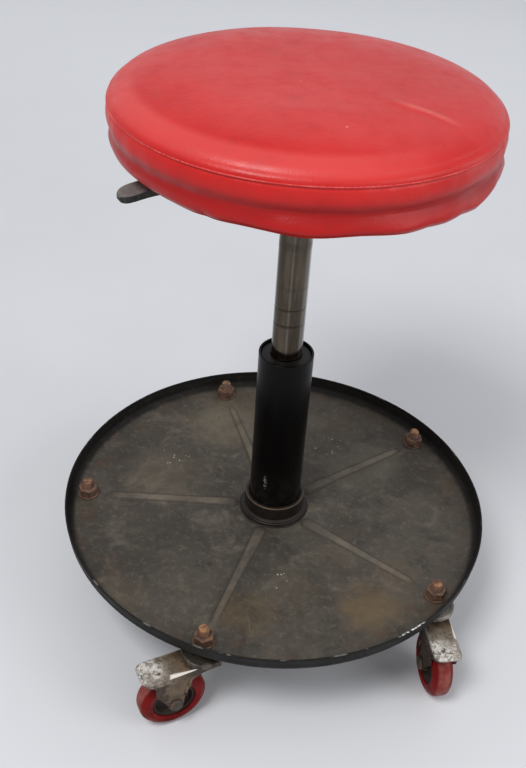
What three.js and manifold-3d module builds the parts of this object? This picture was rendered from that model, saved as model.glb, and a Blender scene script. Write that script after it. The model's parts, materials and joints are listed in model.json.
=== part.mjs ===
// Rolling work stool: a round padded seat on a gas lift, which stands in a pressed round tool tray
// on five swivel casters. A lever under the seat frees the lift.
// Millimetres, +Z up. The origin is the point of the ground below the column's axis, and the seat
// is at its full height.
import * as THREE from "three";
import { mergeVertices } from "three/addons/utils/BufferGeometryUtils.js";
import Module from "manifold-3d";

const wasm = await Module();
wasm.setup();

// Clearances and counts of faces
const GAP = 0.3; // kept between pieces that rest on or turn in each other
const OVERRUN = 3; // how far a cutting body runs past the face that it cuts
const SIDES = { seat: 52, tray: 56, tube: 24, race: 12, wheel: 20, rod: 12, bolt: 10, bend: 3, leg: 5 };

// Caster wheel: a tyre on a moulded core
const WHEEL = {
  radius: 31,
  width: 20,
  treadFlat: 10,
  shoulder: 4.5,
  coreRadius: 19.5,
  rimDepth: 3.5,
  rimWidth: 16,
  webWidth: 8,
  hubRadius: 8,
  tyreFoot: 1,
};
const AXLE = { radius: 4, headRadius: 6.5, headHeight: 2.8, headEdge: 1.2 };

// Caster fork: a hood drawn from sheet, with two legs and a dished ball track round the kingpin
const FORK = {
  sheet: 2,
  trail: 30,
  tyreSideGap: 1,
  hubSideGap: 0.4,
  crownGap: 7.6,
  bendRadius: 3,
  frontReach: 12,
  frontDepth: 7.4,
  hoodReach: 30,
  hoodCorner: 7,
  hoodDepth: 9,
  endLean: 0.7, // how far the hood's end leans in, as a share of its height
  legEndRadius: 7,
  legNeckReach: 11,
  legNeckRise: 25,
  legWaistReach: 11.5,
  legWaistRise: 10,
  legShoulderReach: 18,
  legShoulderRise: 17,
};
const RACE = {
  ballDiameter: 4,
  ringRadius: 14,
  balls: 8,
  cageShare: 0.55,
  dishLip: 1,
  lipHeight: 1.4,
  cupWall: 1.8,
  cupSheet: 2,
  rimDepth: 2.6,
};
const STEM = {
  kingpinRadius: 5,
  headRadius: 8,
  headHeight: 3.2,
  collarAcrossFlats: 17,
  collarHeight: 6.9,
  studRadius: 5,
  studEnd: 8,
  chamfer: 1,
};
const NUT = { acrossFlats: 16.5, height: 8 };
const WASHER = { radius: 10, thickness: 1.6 };

// Tool tray: a sheet pressing with a coved edge, an upright rim and a bead towards each stud
const TRAY = {
  radius: 206,
  rimHeight: 16.5,
  sheet: 1.6,
  flare: 1.2,
  coveRadius: 7.5,
};
const BEAD = { rootWidth: 12.5, tipWidth: 7.5, height: 2.2, endRun: 9, rootGap: 2, studGap: 14 };

// Casters: how far their studs stand in from the tray's side, and which way each one trails, in
// degrees from +X
const STUD_INSET = 19.7;
const STUD_CIRCLE = TRAY.radius - STUD_INSET;
const FIRST_STUD_ANGLE = 38.4;
const TRAIL_ANGLES = [170, 150, 60, 209, 282];

// Hub: a socket welded through the tray, with a collar and a flange above the tray's floor
const HUB = { wall: 4.2, collarHeight: 21, flange: 3.5, flangeThickness: 3.8, drop: 34 };

// Gas lift's outer column, tapered where it sits in the hub
const COLUMN = { radius: 25, wall: 2, taper: 1.5, protrusion: 7, basePlate: 3 };
const BUSH = { length: 60, recess: 1.5, chamfer: 1.6 };
const BEARING = { radius: 13, washer: 1.6, cageDepth: 3, cageInset: 2 };
const BUMPER = { radius: 11.5, height: 8, bevel: 1.5 };

// Gas lift's piston rod, which turns on the bearing and is held by a clip below the column
const ROD = { radius: 5, neck: 1, tail: 8, pistonHeight: 10, nose: 2, pistonLift: 1 };
const CLIP = { radius: 8, thickness: 1.2, groove: 1, opening: 80 };

// Gas lift's pressure tube, which carries the seat
const LIFT = {
  radius: 14,
  wall: 1.5,
  travel: 130,
  engagement: 71,
  bottomGap: 9.7,
  parkGap: 10.5,
  gland: 10,
  cap: 14,
  taperLength: 32,
  taper: 0.7,
};
const PIN = { radius: 3, stand: 5.7, hold: 9, bore: 12, dome: 0.8 };

// Seat bracket: a square plate with a pressed pan, and below it the socket for the pressure tube
const BRACKET = {
  side: 150,
  cornerRadius: 20,
  sheet: 2.5,
  panDepth: 30,
  panTopRadius: 56,
  panFootRadius: 38,
  socketLength: 26.7,
  socketWall: 3.5,
  screwSpacing: 120,
  slotSide: 2,
  slotHeight: 9,
};
const SCREW = { radius: 3, headRadius: 5.5, headHeight: 3.6, headEdge: 1, reach: 12 };

// Release lever: a flat bent strip that tilts on a pin across the pan, with a moulded paddle
const LEVER = {
  angle: 213.8,
  pivot: 36,
  pinRadius: 2.5,
  pinStand: 3,
  eyeRadius: 5.5,
  nose: 6,
  width: 12,
  thickness: 3.5,
  rise: 4.8,
  riseStart: 16,
  riseRun: 40,
};
const PADDLE = {
  tipReach: 158,
  length: 56,
  halfWidth: 9.5,
  rootThickness: 7.5,
  tipThickness: 4.4,
  droop: 4,
  hold: 24,
};

// Seat: a plywood board inside a padded cover
const BOARD = { radius: 146, thickness: 12, holeDepth: 9.5 };
const CUSHION = {
  cover: 1.2,
  hemWidth: 24,
  bottomRound: 3,
  seamOut: 5.1,
  seamHeight: 34.8,
  crown: 20.5,
  bulge: 1,
  groove: 0.6,
};

// Heights that follow, from the ground up
const crownTop = 2 * WHEEL.radius + FORK.crownGap + FORK.sheet;
const cupUnderside = crownTop + RACE.ballDiameter + 2 * GAP;
const cupTop = cupUnderside + RACE.cupSheet;
const trayUnderside = cupTop + STEM.collarHeight + GAP;
const trayFloor = trayUnderside + TRAY.sheet;
const nutBottom = trayFloor + WASHER.thickness + 2 * GAP;
const hubTop = trayFloor + HUB.collarHeight;
const hubBottom = trayFloor - HUB.drop;
const columnBottom = hubBottom - COLUMN.protrusion;
const bearingBottom = columnBottom + COLUMN.basePlate + GAP;
const bearingTop = bearingBottom + 2 * BEARING.washer + BEARING.cageDepth;
const bumperTop = bearingTop + GAP + BUMPER.height;
const tubeBottom = bumperTop + LIFT.bottomGap + LIFT.travel;
const columnTop = tubeBottom + LIFT.engagement;
const bushTop = columnTop - BUSH.recess;
const socketBottom = columnTop + LIFT.parkGap + LIFT.travel;
const tubeTop = socketBottom + LIFT.taperLength;
const pinTop = tubeTop + PIN.stand;
const pivotHeight = pinTop + GAP + LEVER.thickness / 2;
const panBottom = socketBottom + BRACKET.socketLength;
const plateTop = panBottom + BRACKET.panDepth;
const boardBottom = plateTop + GAP;
const boardTop = boardBottom + BOARD.thickness;

// Widths that follow
const forkInside = WHEEL.width / 2 + FORK.tyreSideGap;
const forkOutside = forkInside + FORK.sheet;
const trackRadius = RACE.ringRadius + RACE.ballDiameter / 2 + GAP;
const dishRadius = trackRadius + RACE.dishLip;
const cupInside = dishRadius + 2 * GAP;
const cupRadius = cupInside + RACE.cupWall;
const pistonRadius = LIFT.radius - LIFT.wall - GAP;
const hubRadius = COLUMN.radius + GAP + HUB.wall;
const seamRadius = BOARD.radius + CUSHION.seamOut;

const radians = THREE.MathUtils.degToRad;

// Solids

// A closed triangle mesh as a solid, turned right side out if its outline ran the other way.
function solidOf(geometry) {
  const bare = geometry.index ? geometry.toNonIndexed() : geometry;
  bare.deleteAttribute("normal");
  bare.deleteAttribute("uv");
  const merged = mergeVertices(bare);
  const vertProperties = merged.attributes.position.array;
  const triVerts = new Uint32Array(merged.index.array);
  const made = () => new wasm.Manifold(new wasm.Mesh({ numProp: 3, vertProperties, triVerts }));
  const solid = made();
  if (solid.volume() > 0) return solid;
  for (let i = 0; i < triVerts.length; i += 3) triVerts.subarray(i, i + 2).reverse();
  return made();
}

function geometryOf(solid) {
  const { vertProperties, triVerts } = solid.getMesh();
  return new THREE.BufferGeometry()
    .setAttribute("position", new THREE.BufferAttribute(vertProperties, 3))
    .setIndex(new THREE.BufferAttribute(triVerts, 1));
}

// Revolves an outline of [radius, height] pairs about Z. One that starts and ends on the axis is
// left open there, and any other is closed on itself.
function revolve(outline, sides, turn = 0) {
  const points = outline.map(([r, z]) => new THREE.Vector2(r, z));
  const onAxis = outline[0][0] === 0 && outline.at(-1)[0] === 0;
  if (!onAxis) points.push(points[0].clone());
  return solidOf(new THREE.LatheGeometry(points, sides).rotateX(Math.PI / 2).rotateZ(turn));
}

function disc(radius, bottom, top, sides) {
  return revolve([[0, bottom], [radius, bottom], [radius, top], [0, top]], sides);
}

function ring(inside, outside, bottom, top, sides) {
  return revolve([[inside, bottom], [outside, bottom], [outside, top], [inside, top]], sides);
}

// Extrudes a flat shape in XY from one height to another.
function prism(shape, bottom, top) {
  const geometry = new THREE.ExtrudeGeometry(shape, {
    depth: top - bottom,
    bevelEnabled: false,
    curveSegments: SIDES.bend,
  });
  return solidOf(geometry.translate(0, 0, bottom));
}

// Extrudes a shape drawn in XZ across Y, from one side to the other.
function sidePlate(shape, from, to) {
  const geometry = new THREE.ExtrudeGeometry(shape, {
    depth: to - from,
    bevelEnabled: false,
    curveSegments: SIDES.leg,
  });
  return solidOf(geometry.rotateX(Math.PI / 2).translate(0, to, 0));
}

// Skins a row of closed rings, each with the same number of points, and closes both ends.
function loft(rings) {
  const count = rings[0].length;
  const points = rings.flat();
  const index = [];
  for (let r = 0; r + 1 < rings.length; r++) {
    for (let i = 0; i < count; i++) {
      const a = r * count + i;
      const b = r * count + ((i + 1) % count);
      index.push(a, b, b + count, a, b + count, a + count);
    }
  }
  for (const [first, flip] of [[0, true], [(rings.length - 1) * count, false]]) {
    const middle = points.length;
    const sum = new THREE.Vector3();
    for (let i = 0; i < count; i++) sum.add(points[first + i]);
    points.push(sum.divideScalar(count));
    for (let i = 0; i < count; i++) {
      const a = first + i;
      const b = first + ((i + 1) % count);
      index.push(middle, flip ? b : a, flip ? a : b);
    }
  }
  return solidOf(new THREE.BufferGeometry().setFromPoints(points).setIndex(index));
}

// A straight pin along Y through a point of the XZ plane.
function crossPin(x, z, radius, halfLength, sides) {
  const pin = new THREE.CylinderGeometry(radius, radius, 2 * halfLength, sides);
  return solidOf(pin.translate(x, 0, z));
}

function hexagon(acrossFlats) {
  const corner = acrossFlats / Math.sqrt(3);
  const shape = new THREE.Shape();
  for (let i = 0; i < 6; i++) {
    const angle = radians(60 * i);
    const place = [corner * Math.cos(angle), corner * Math.sin(angle)];
    if (i === 0) shape.moveTo(...place);
    else shape.lineTo(...place);
  }
  return shape;
}

// Points of a quarter turn or less, from one angle to another, in degrees.
function arc(x, z, radius, from, to) {
  return Array.from({ length: SIDES.bend + 1 }, (_, i) => {
    const angle = radians(from + ((to - from) * i) / SIDES.bend);
    return [x + radius * Math.cos(angle), z + radius * Math.sin(angle)];
  });
}

// A ring of balls in their cage, as one string of beads round Z.
function ballRing(ringRadius, ballRadius, balls, height) {
  const rings = [];
  const steps = 2 * balls;
  const around = 6;
  for (let i = 0; i < steps; i++) {
    const turn = (2 * Math.PI * i) / steps;
    const radius = ballRadius * (i % 2 === 0 ? 1 : RACE.cageShare);
    rings.push(
      Array.from({ length: around }, (_, k) => {
        const angle = (2 * Math.PI * k) / around + Math.PI / 2;
        const reach = ringRadius + radius * Math.cos(angle);
        const lift = height + radius * Math.sin(angle);
        return new THREE.Vector3(reach * Math.cos(turn), reach * Math.sin(turn), lift);
      }),
    );
  }
  const index = [];
  for (let r = 0; r < steps; r++) {
    for (let k = 0; k < around; k++) {
      const a = r * around + k;
      const b = r * around + ((k + 1) % around);
      const c = ((r + 1) % steps) * around;
      index.push(a, b, c + ((k + 1) % around), a, c + ((k + 1) % around), c + k);
    }
  }
  return solidOf(new THREE.BufferGeometry().setFromPoints(rings.flat()).setIndex(index));
}

// Caster pieces, round the stud's axis, with +X the way that the wheel trails

function tyre() {
  const half = WHEEL.width / 2;
  const flat = WHEEL.treadFlat / 2;
  // the flats of the many-sided tread, not its corners, are at the wheel's radius
  const tread = WHEEL.radius / Math.cos(Math.PI / SIDES.wheel);
  const inside = WHEEL.coreRadius + GAP;
  const foot = half - WHEEL.tyreFoot;
  const outline = [
    [inside, -foot],
    [tread - WHEEL.shoulder, -half],
    [tread, -flat],
    [tread, flat],
    [tread - WHEEL.shoulder, half],
    [inside, foot],
  ];
  return wheelPlace(revolve(outline, SIDES.wheel, Math.PI / SIDES.wheel));
}

function wheelCore() {
  const bore = AXLE.radius + GAP;
  const hub = forkInside - FORK.hubSideGap;
  const web = WHEEL.webWidth / 2;
  const rim = WHEEL.rimWidth / 2;
  const rimInside = WHEEL.coreRadius - WHEEL.rimDepth;
  const half = [
    [bore, hub],
    [WHEEL.hubRadius, hub],
    [rimInside, web],
    [WHEEL.coreRadius, rim],
  ];
  const mirrored = half.map(([r, z]) => [r, -z]).reverse();
  return wheelPlace(revolve([...half, ...mirrored], SIDES.wheel, Math.PI / SIDES.wheel));
}

function wheelPlace(solid) {
  return solid.rotate([90, 0, 0]).translate([FORK.trail, 0, WHEEL.radius]);
}

function axle() {
  const seat = forkOutside + GAP;
  const end = seat + AXLE.headHeight;
  const half = [
    [AXLE.radius, seat],
    [AXLE.headRadius, seat],
    [AXLE.headRadius - AXLE.headEdge, end],
    [0, end],
  ];
  const mirrored = half.map(([r, z]) => [r, -z]).reverse();
  return wheelPlace(revolve([...mirrored, ...half], SIDES.bolt));
}

// One level of the hood in plan: straight sides and an end with two round corners over the wheel.
// Below the bend the end leans in towards its lip.
function hoodRing(side, front, height) {
  const inset = forkOutside - side;
  const lean = FORK.endLean * Math.max(0, crownTop - FORK.bendRadius - height);
  const end = FORK.trail + FORK.hoodReach - inset - lean;
  const corner = FORK.hoodCorner - inset;
  const points = [new THREE.Vector3(front, -side, height)];
  const corners = [
    ...arc(end - corner, corner - side, corner, -90, 0),
    ...arc(end - corner, side - corner, corner, 0, 90),
  ];
  for (const [x, y] of corners) points.push(new THREE.Vector3(x, y, height));
  points.push(new THREE.Vector3(front, side, height));
  return points;
}

function hood(side, front, bottom, top, bend) {
  const rings = [hoodRing(side, front, bottom)];
  for (const [inset, height] of arc(side - bend, top - bend, bend, 0, 90)) {
    rings.push(hoodRing(inset, front, height));
  }
  return loft(rings);
}

// A leg from the side: it sweeps down from the fork's front to a narrow round end at the axle, and
// behind that end it widens to a shoulder below the hood's lip.
function forkLegOutline() {
  const top = crownTop - FORK.bendRadius;
  const front = -FORK.frontReach;
  const frontLip = crownTop - FORK.frontDepth;
  const end = FORK.legEndRadius;
  const neck = FORK.trail - FORK.legNeckReach;
  const neckHeight = WHEEL.radius + FORK.legNeckRise;
  const waist = FORK.trail + FORK.legWaistReach;
  const waistHeight = WHEEL.radius + FORK.legWaistRise;
  const shoulder = FORK.trail + FORK.legShoulderReach;
  const shoulderHeight = WHEEL.radius + FORK.legShoulderRise;
  const shape = new THREE.Shape();
  shape.moveTo(front, top);
  shape.lineTo(front, frontLip);
  shape.bezierCurveTo(neck, frontLip, neck, neckHeight, FORK.trail - end, WHEEL.radius);
  shape.absarc(FORK.trail, WHEEL.radius, end, Math.PI, 2 * Math.PI);
  shape.quadraticCurveTo(waist, waistHeight, shoulder, shoulderHeight);
  shape.quadraticCurveTo(shoulder, (shoulderHeight + top) / 2, shoulder + FORK.sheet, top);
  shape.closePath();
  return shape;
}

function fork() {
  const front = -FORK.frontReach;
  const lip = crownTop - FORK.hoodDepth;
  const top = crownTop - FORK.sheet;
  const hole = STEM.kingpinRadius + GAP;
  const outer = hood(forkOutside, front, lip, crownTop, FORK.bendRadius);
  const inner = hood(forkInside, front - OVERRUN, lip - OVERRUN, top, FORK.bendRadius - FORK.sheet);
  const dish = revolve(
    [
      [hole, top],
      [dishRadius, top],
      [dishRadius, crownTop + RACE.lipHeight],
      [trackRadius, crownTop + RACE.lipHeight],
      [trackRadius, crownTop],
      [hole, crownTop],
    ],
    SIDES.race,
  );
  const leg = forkLegOutline();
  return outer
    .subtract(inner)
    .add(sidePlate(leg, forkInside, forkOutside))
    .add(sidePlate(leg, -forkOutside, -forkInside))
    .subtract(disc(hole, top - OVERRUN, crownTop + OVERRUN, SIDES.rod))
    .add(dish)
    .subtract(crossPin(FORK.trail, WHEEL.radius, AXLE.radius + GAP, forkOutside + OVERRUN, SIDES.rod));
}

function raceBalls() {
  const middle = crownTop + GAP + RACE.ballDiameter / 2;
  return ballRing(RACE.ringRadius, RACE.ballDiameter / 2, RACE.balls, middle);
}

function stem() {
  const headTop = crownTop - FORK.sheet - GAP;
  const headBottom = headTop - STEM.headHeight;
  const rim = cupUnderside - RACE.rimDepth;
  const collarTop = trayUnderside - GAP;
  const studTop = nutBottom + NUT.height + STEM.studEnd;
  const turned = revolve(
    [
      [0, headBottom],
      [STEM.headRadius, headBottom],
      [STEM.headRadius, headTop],
      [STEM.kingpinRadius, headTop],
      [STEM.kingpinRadius, cupUnderside],
      [cupInside, cupUnderside],
      [cupInside, rim],
      [cupRadius, rim],
      [cupRadius, cupTop],
      [STEM.studRadius, cupTop],
      [STEM.studRadius, studTop - STEM.chamfer],
      [STEM.studRadius - STEM.chamfer, studTop],
      [0, studTop],
    ],
    SIDES.race,
  );
  return turned.add(prism(hexagon(STEM.collarAcrossFlats), cupTop - GAP, collarTop));
}

function nut() {
  const top = nutBottom + NUT.height;
  const bore = disc(STEM.studRadius + GAP, nutBottom - OVERRUN, top + OVERRUN, SIDES.bolt);
  return prism(hexagon(NUT.acrossFlats), nutBottom, top).subtract(bore);
}

function washer() {
  const bottom = trayFloor + GAP;
  return ring(STEM.studRadius + GAP, WASHER.radius, bottom, bottom + WASHER.thickness, SIDES.race);
}

// Tray

function trayPressing() {
  const { sheet, coveRadius } = TRAY;
  const hole = hubRadius + GAP;
  const openFloor = hubRadius + HUB.flange + BEAD.rootGap / 2; // the facets past it clear the hub's flange
  const coveX = TRAY.radius - TRAY.flare - sheet - coveRadius;
  const coveZ = trayFloor + coveRadius;
  const top = trayFloor + TRAY.rimHeight;
  return revolve(
    [
      [hole, trayFloor],
      [openFloor, trayFloor],
      ...arc(coveX, coveZ, coveRadius, -90, 0),
      [TRAY.radius - sheet, top],
      [TRAY.radius, top],
      ...arc(coveX, coveZ, coveRadius + sheet, 0, -90),
      [hole, trayUnderside],
    ],
    SIDES.tray,
  );
}

// A rounded bead along +X. Dropped by the sheet's thickness, it is the groove below that bead.
function bead(drop, foot) {
  const from = hubRadius + HUB.flange + BEAD.rootGap;
  const to = STUD_CIRCLE - BEAD.studGap;
  const steps = 2 * SIDES.bend;
  const section = (x, width, height) => {
    const points = [];
    for (let i = 0; i <= steps; i++) {
      const angle = (Math.PI * i) / steps;
      const lift = trayFloor - drop + height * Math.sin(angle);
      points.push(new THREE.Vector3(x, (width / 2) * Math.cos(angle), lift));
    }
    points.push(new THREE.Vector3(x, -width / 2, foot), new THREE.Vector3(x, width / 2, foot));
    return points;
  };
  const { rootWidth, tipWidth, height, endRun } = BEAD;
  return loft([
    section(from, rootWidth / 2, height / 8),
    section(from + endRun / 2, rootWidth, height),
    section(to - endRun, tipWidth, height),
    section(to, tipWidth / 2, height / 8),
  ]);
}

function tray() {
  let solid = trayPressing();
  TRAIL_ANGLES.forEach((_, i) => {
    const turn = [0, 0, studAngle(i)];
    solid = solid
      .add(bead(0, trayFloor - TRAY.sheet / 2).rotate(turn))
      .subtract(bead(TRAY.sheet, trayUnderside - OVERRUN).rotate(turn))
      .subtract(
        disc(STEM.studRadius + GAP, trayUnderside - OVERRUN, trayFloor + OVERRUN, SIDES.bolt)
          .translate([STUD_CIRCLE, 0, 0])
          .rotate(turn),
      );
  });
  return solid;
}

function studAngle(i) {
  return FIRST_STUD_ANGLE + (360 * i) / TRAIL_ANGLES.length;
}

// Column and what it holds

// The column's outside radius, which falls by its taper between the hub's top and its own foot.
function columnRadius(height) {
  const share = THREE.MathUtils.clamp((hubTop - height) / (hubTop - columnBottom), 0, 1);
  return COLUMN.radius - COLUMN.taper * share;
}

function hubSocket() {
  const flangeBottom = trayFloor + GAP;
  const flangeTop = flangeBottom + HUB.flangeThickness;
  const flangeRadius = hubRadius + HUB.flange;
  const bevel = HUB.wall / 4;
  return revolve(
    [
      [columnRadius(hubBottom) + GAP, hubBottom],
      [hubRadius, hubBottom],
      [hubRadius, flangeBottom],
      [flangeRadius, flangeBottom],
      [flangeRadius, flangeTop - bevel],
      [flangeRadius - bevel, flangeTop],
      [hubRadius + bevel, flangeTop],
      [hubRadius, flangeTop + bevel],
      [hubRadius, hubTop - bevel],
      [hubRadius - bevel, hubTop],
      [columnRadius(hubTop) + GAP, hubTop],
    ],
    SIDES.tube,
  );
}

function columnTube() {
  const floor = columnBottom + COLUMN.basePlate;
  const hole = ROD.radius - ROD.neck + GAP;
  return revolve(
    [
      [hole, columnBottom],
      [columnRadius(columnBottom), columnBottom],
      [columnRadius(hubTop), hubTop],
      [COLUMN.radius, columnTop],
      [COLUMN.radius - COLUMN.wall, columnTop],
      [COLUMN.radius - COLUMN.wall, hubTop],
      [columnRadius(floor) - COLUMN.wall, floor],
      [hole, floor],
    ],
    SIDES.tube,
  );
}

function guideBush() {
  const outside = COLUMN.radius - COLUMN.wall - GAP;
  const bore = LIFT.radius + GAP;
  const bottom = bushTop - BUSH.length;
  return revolve(
    [
      [bore, bottom],
      [outside, bottom],
      [outside, bushTop],
      [bore + BUSH.chamfer, bushTop],
      [bore, bushTop - BUSH.chamfer],
    ],
    SIDES.tube,
  );
}

// Two washers, with the cage of their balls between them.
function thrustBearing() {
  const bore = ROD.radius - ROD.neck + GAP;
  const { radius, washer, cageInset } = BEARING;
  return revolve(
    [
      [bore, bearingBottom],
      [radius, bearingBottom],
      [radius, bearingBottom + washer],
      [radius - cageInset, bearingBottom + washer],
      [radius - cageInset, bearingTop - washer],
      [radius, bearingTop - washer],
      [radius, bearingTop],
      [bore, bearingTop],
    ],
    SIDES.rod,
  );
}

function bumper() {
  const bore = ROD.radius + GAP;
  const bottom = bearingTop + GAP;
  const { radius, bevel } = BUMPER;
  return revolve(
    [
      [bore, bottom],
      [radius, bottom],
      [radius, bumperTop - bevel],
      [radius - bevel, bumperTop],
      [bore, bumperTop],
    ],
    SIDES.rod,
  );
}

function retainingClip() {
  const top = columnBottom - GAP;
  const inside = ROD.radius - ROD.neck - CLIP.groove + GAP;
  const washerShape = ring(inside, CLIP.radius, top - CLIP.thickness, top, SIDES.rod);
  const reach = CLIP.radius + OVERRUN;
  const half = reach * Math.tan(radians(CLIP.opening / 2));
  const wedge = new THREE.Shape([
    new THREE.Vector2(0, 0),
    new THREE.Vector2(reach, -half),
    new THREE.Vector2(reach, half),
  ]);
  return washerShape.subtract(prism(wedge, top - CLIP.thickness - OVERRUN, top + OVERRUN));
}

function pistonRod() {
  const neck = ROD.radius - ROD.neck;
  const tail = columnBottom - ROD.tail;
  const clipTop = columnBottom;
  const clipBottom = columnBottom - CLIP.thickness - 2 * GAP;
  const pistonBottom = tubeBottom + LIFT.gland + ROD.pistonLift;
  const pistonTop = pistonBottom + ROD.pistonHeight;
  return revolve(
    [
      [0, tail],
      [neck, tail],
      [neck, clipBottom],
      [neck - CLIP.groove, clipBottom],
      [neck - CLIP.groove, clipTop],
      [neck, clipTop],
      [neck, bearingTop + GAP],
      [ROD.radius, bearingTop + GAP],
      [ROD.radius, pistonBottom],
      [pistonRadius, pistonBottom],
      [pistonRadius, pistonTop],
      [neck, pistonTop],
      [neck, pistonTop + ROD.nose],
      [0, pistonTop + ROD.nose],
    ],
    SIDES.rod,
  );
}

// The pressure tube's outside radius, which falls by its taper inside the bracket's socket.
function tubeRadius(height) {
  const share = THREE.MathUtils.clamp((height - socketBottom) / LIFT.taperLength, 0, 1);
  return LIFT.radius - LIFT.taper * share;
}

function pressureTube() {
  const inside = LIFT.radius - LIFT.wall;
  const glandTop = tubeBottom + LIFT.gland;
  const chamberTop = tubeTop - LIFT.cap;
  const rodHole = ROD.radius + GAP;
  return revolve(
    [
      [rodHole, tubeBottom],
      [LIFT.radius - LIFT.wall / 2, tubeBottom],
      [LIFT.radius, tubeBottom + LIFT.wall],
      [LIFT.radius, socketBottom],
      [tubeRadius(tubeTop), tubeTop],
      [PIN.radius + GAP, tubeTop],
      [PIN.radius + GAP, tubeTop - PIN.bore],
      [0, tubeTop - PIN.bore],
      [0, chamberTop],
      [inside, chamberTop],
      [inside, glandTop],
      [rodHole, glandTop],
    ],
    SIDES.tube,
  );
}

function releasePin() {
  return revolve(
    [
      [0, tubeTop - PIN.hold],
      [PIN.radius, tubeTop - PIN.hold],
      [PIN.radius, pinTop - PIN.dome],
      [PIN.radius / 2, pinTop - PIN.dome / 4],
      [0, pinTop],
    ],
    SIDES.bolt,
  );
}

// Seat bracket

function roundedSquare(side, corner) {
  const half = side / 2;
  const flat = half - corner;
  const shape = new THREE.Shape();
  shape.absarc(flat, flat, corner, 0, Math.PI / 2);
  shape.absarc(-flat, flat, corner, Math.PI / 2, Math.PI);
  shape.absarc(-flat, -flat, corner, Math.PI, 1.5 * Math.PI);
  shape.absarc(flat, -flat, corner, 1.5 * Math.PI, 2 * Math.PI);
  shape.closePath();
  return shape;
}

// The pan's outside radius at a height.
function panRadius(height) {
  const share = (height - panBottom) / BRACKET.panDepth;
  return BRACKET.panFootRadius + (BRACKET.panTopRadius - BRACKET.panFootRadius) * share;
}

function pan(inset, bottom, top) {
  const outline = [[0, bottom], [panRadius(bottom) - inset, bottom]];
  outline.push([panRadius(top) - inset, top], [0, top]);
  return revolve(outline, SIDES.tube);
}

function screwPlaces() {
  const half = BRACKET.screwSpacing / 2;
  return [[half, half], [-half, half], [-half, -half], [half, -half]];
}

function seatBracket() {
  const { sheet, socketWall } = BRACKET;
  const plateBottom = plateTop - sheet;
  const bore = (height) => tubeRadius(height) + GAP;
  const boreTop = panBottom + sheet + OVERRUN;
  const socket = disc(LIFT.radius + GAP + socketWall, socketBottom, panBottom + sheet, SIDES.tube);
  const tubeSeat = revolve(
    [
      [0, socketBottom - OVERRUN],
      [bore(socketBottom), socketBottom - OVERRUN],
      [bore(socketBottom), socketBottom],
      [bore(boreTop), boreTop],
      [0, boreTop],
    ],
    SIDES.tube,
  );
  const slotHalf = LEVER.width / 2 + BRACKET.slotSide;
  const slot = new THREE.Shape();
  slot.moveTo(LEVER.pivot, -slotHalf);
  slot.lineTo(BRACKET.panTopRadius + OVERRUN, -slotHalf);
  slot.lineTo(BRACKET.panTopRadius + OVERRUN, slotHalf);
  slot.lineTo(LEVER.pivot, slotHalf);
  slot.closePath();
  const slotMiddle = pivotHeight + LEVER.thickness / 4;
  const slotBody = prism(slot, slotMiddle - BRACKET.slotHeight / 2, slotMiddle + BRACKET.slotHeight / 2);
  const pivotHole = crossPin(
    LEVER.pivot, pivotHeight, LEVER.pinRadius + GAP, BRACKET.panTopRadius + OVERRUN, SIDES.bolt);
  const turn = [0, 0, LEVER.angle];
  let solid = prism(roundedSquare(BRACKET.side, BRACKET.cornerRadius), plateBottom, plateTop)
    .add(pan(0, panBottom, plateTop))
    .add(socket)
    .subtract(pan(sheet, panBottom + sheet, plateTop + OVERRUN))
    .subtract(tubeSeat)
    .subtract(slotBody.rotate(turn))
    .subtract(pivotHole.rotate(turn));
  for (const [x, y] of screwPlaces()) {
    const hole = disc(SCREW.radius + GAP, plateBottom - OVERRUN, plateTop + OVERRUN, SIDES.bolt);
    solid = solid.subtract(hole.translate([x, y, 0]));
  }
  return solid;
}

function screw() {
  const seat = plateTop - BRACKET.sheet - GAP;
  const bottom = seat - SCREW.headHeight;
  return revolve(
    [
      [0, bottom],
      [SCREW.headRadius - SCREW.headEdge, bottom],
      [SCREW.headRadius, bottom + SCREW.headEdge],
      [SCREW.headRadius, seat],
      [SCREW.radius, seat],
      [SCREW.radius, seat + SCREW.reach],
      [0, seat + SCREW.reach],
    ],
    SIDES.bolt,
  );
}

// Release lever, along +X from the column's axis

function leverHeight(x) {
  const start = LEVER.pivot + LEVER.riseStart;
  const share = THREE.MathUtils.clamp((x - start) / LEVER.riseRun, 0, 1);
  return pivotHeight + LEVER.rise * share;
}

// The bent strip as a body, larger by a gap all round where it is a cutting body.
function strip(from, to, gap) {
  const start = LEVER.pivot + LEVER.riseStart;
  const stops = [from, start, start + LEVER.riseRun, to].filter((x) => x >= from && x <= to);
  const half = LEVER.thickness / 2 + gap;
  const upper = stops.map((x) => new THREE.Vector2(x, leverHeight(x) + half));
  const lower = stops.map((x) => new THREE.Vector2(x, leverHeight(x) - half)).reverse();
  const side = LEVER.width / 2 + gap;
  return sidePlate(new THREE.Shape([...upper, ...lower]), -side, side);
}

function leverArm() {
  const paddleStart = PADDLE.tipReach - PADDLE.length;
  const { pivot, eyeRadius, pinRadius, width } = LEVER;
  return strip(-LEVER.nose, paddleStart + PADDLE.hold, 0)
    .add(crossPin(pivot, pivotHeight, eyeRadius, width / 2, SIDES.bolt))
    .subtract(crossPin(pivot, pivotHeight, pinRadius + GAP, width, SIDES.bolt));
}

function leverPivot() {
  const wall = Math.sqrt(panRadius(pivotHeight) ** 2 - LEVER.pivot ** 2);
  return crossPin(LEVER.pivot, pivotHeight, LEVER.pinRadius, wall + LEVER.pinStand, SIDES.bolt);
}

// Stations of the paddle: shares of its length, half width and thickness
const PADDLE_STATION_SHARES = [
  [0, 0.78, 1],
  [0.12, 0.92, 1],
  [0.45, 1, 1],
  [0.68, 1, 0.86],
  [0.86, 0.93, 0.7],
  [0.95, 0.72, 0.62],
  [1, 0.34, 0.45],
];

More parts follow.
